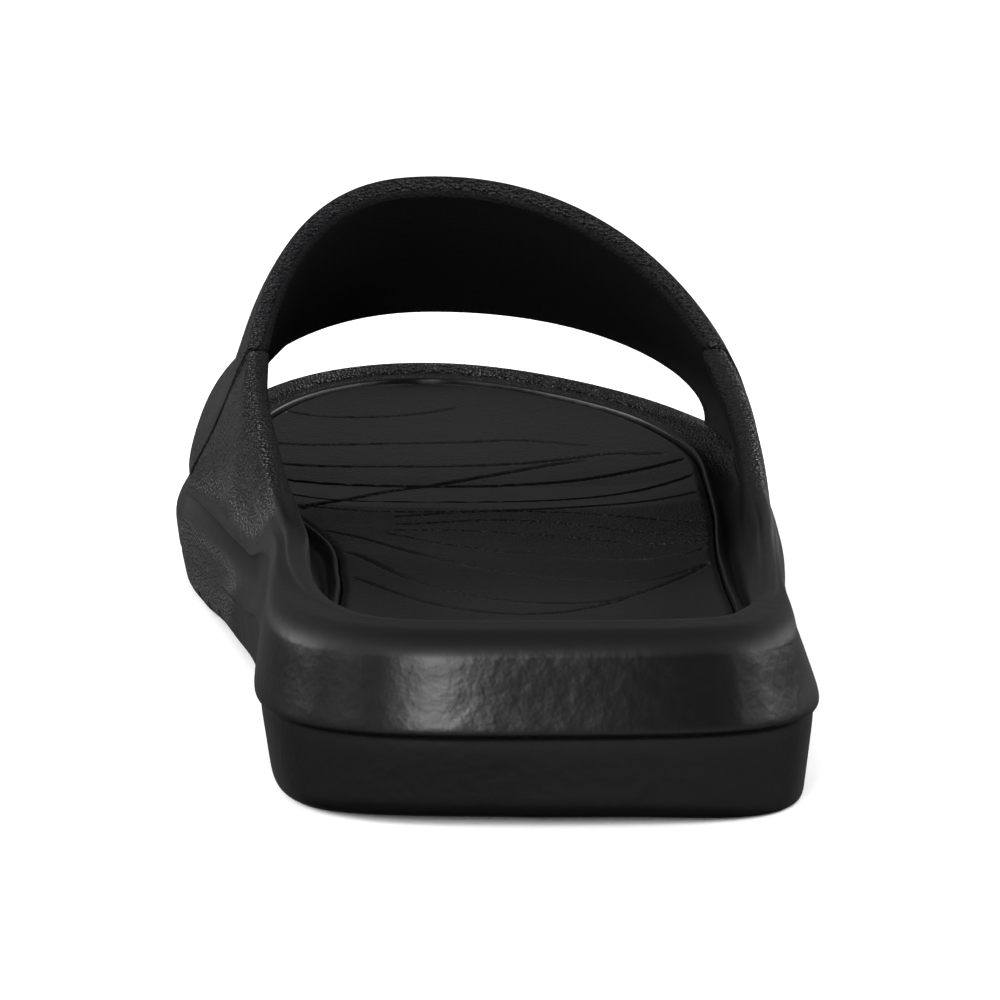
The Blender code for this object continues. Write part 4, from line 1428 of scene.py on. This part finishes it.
def makeWorld():
    # White all round for the eye and the floor, a dim room with a white back for the gloss
    world = bpy.data.worlds.new("white_studio")
    bpy.context.scene.world = world
    world.use_nodes = True
    tree = world.node_tree
    where = addNode(tree, "ShaderNodeTexCoord")
    parts = addNode(tree, "ShaderNodeSeparateXYZ", None, {"Vector": where.outputs["Generated"]})
    tone = {}
    for name, way in (("back", "Y"), ("floor", "Y"), ("under", "Z"), ("horizon", "Z")):
        spans = dict(zip(("From Min", "From Max", "To Min", "To Max"), studio["tones"][name]))
        ramp = addNode(tree, "ShaderNodeMapRange", spans, {"Value": parts.outputs[way]})
        tone[name] = ramp.outputs["Result"]
    shade = addNode(tree, "ShaderNodeMath", {"operation": "MULTIPLY"}, {0: tone["floor"], 1: tone["under"]})
    room = addNode(tree, "ShaderNodeMix", {"data_type": "FLOAT"},
                   {"Factor": tone["horizon"], numberA: tone["back"], numberB: shade.outputs[0]})
    path = addNode(tree, "ShaderNodeLightPath")
    level = addNode(tree, "ShaderNodeMix", {"data_type": "FLOAT", numberA: studio["white"]},
                    {"Factor": path.outputs["Is Glossy Ray"], numberB: room.outputs[mixedNumber]})
    background = tree.nodes["Background"]
    background.inputs["Color"].default_value = (1.0, 1.0, 1.0, 1.0)
    tree.links.new(level.outputs[mixedNumber], background.inputs["Strength"])


def makeStage():
    bm = bmesh.new()
    bmesh.ops.create_grid(bm, x_segments=1, y_segments=1, size=studio["floorHalf"])
    floor = bpy.data.objects.new("studio_floor", intoMesh(bm, "studio_floor"))
    bpy.context.collection.objects.link(floor)
    material, tree, shader = startMaterial("white_studio_board")
    shader.inputs["Base Color"].default_value = linear(studio["floor"])
    shader.inputs["Roughness"].default_value = studio["floorRough"]
    floor.data.materials.append(material)
    floor.visible_glossy = False
    makeWorld()
    for box in studio["boxes"]:
        addLight(**box)


def makeCamera():
    yaw, pitch = math.radians(studio["yaw"]), math.radians(studio["pitch"])
    look = Vector((math.sin(yaw) * math.cos(pitch), math.cos(yaw) * math.cos(pitch), -math.sin(pitch)))
    data = bpy.data.cameras.new("camera")
    data.sensor_width = studio["frameWidth"]
    data.lens = studio["lens"]
    camera = bpy.data.objects.new("camera", data)
    camera.location = studio["camera"]
    camera.rotation_euler = look.to_track_quat("-Z", "Y").to_euler()
    bpy.context.collection.objects.link(camera)
    bpy.context.scene.camera = camera


bpy.context.scene.view_settings.view_transform = "Standard"
makeStage()
makeCamera()

solePiece = makeSole()
paint(solePiece, "grain", soleGrain)
paint(solePiece, "dullAndShade", soleDullAndShade)
solePiece.data.materials.append(mouldedFoam("moulded_eva_satin", satin))
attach(solePiece, "root")
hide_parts("sole")
print("sole made", len(solePiece.data.polygons), "faces")

strapPiece = makeStrap()
paint(strapPiece, "grain", strapGrain)
paint(strapPiece, "dullAndShade", strapDullAndShade)
strapPiece.data.materials.append(mouldedFoam("moulded_eva_grained", satin))
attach(strapPiece, "root")
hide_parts("strap")
print("strap made", len(strapPiece.data.polygons), "faces")

bedPiece = makeFootbed()
paint(bedPiece, "grain", bedGrain)
bedPiece.data.materials.append(mouldedFoam("moulded_eva_matt", matt))
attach(bedPiece, "root")
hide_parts("footbed")
print("footbed made", len(bedPiece.data.polygons), "faces")
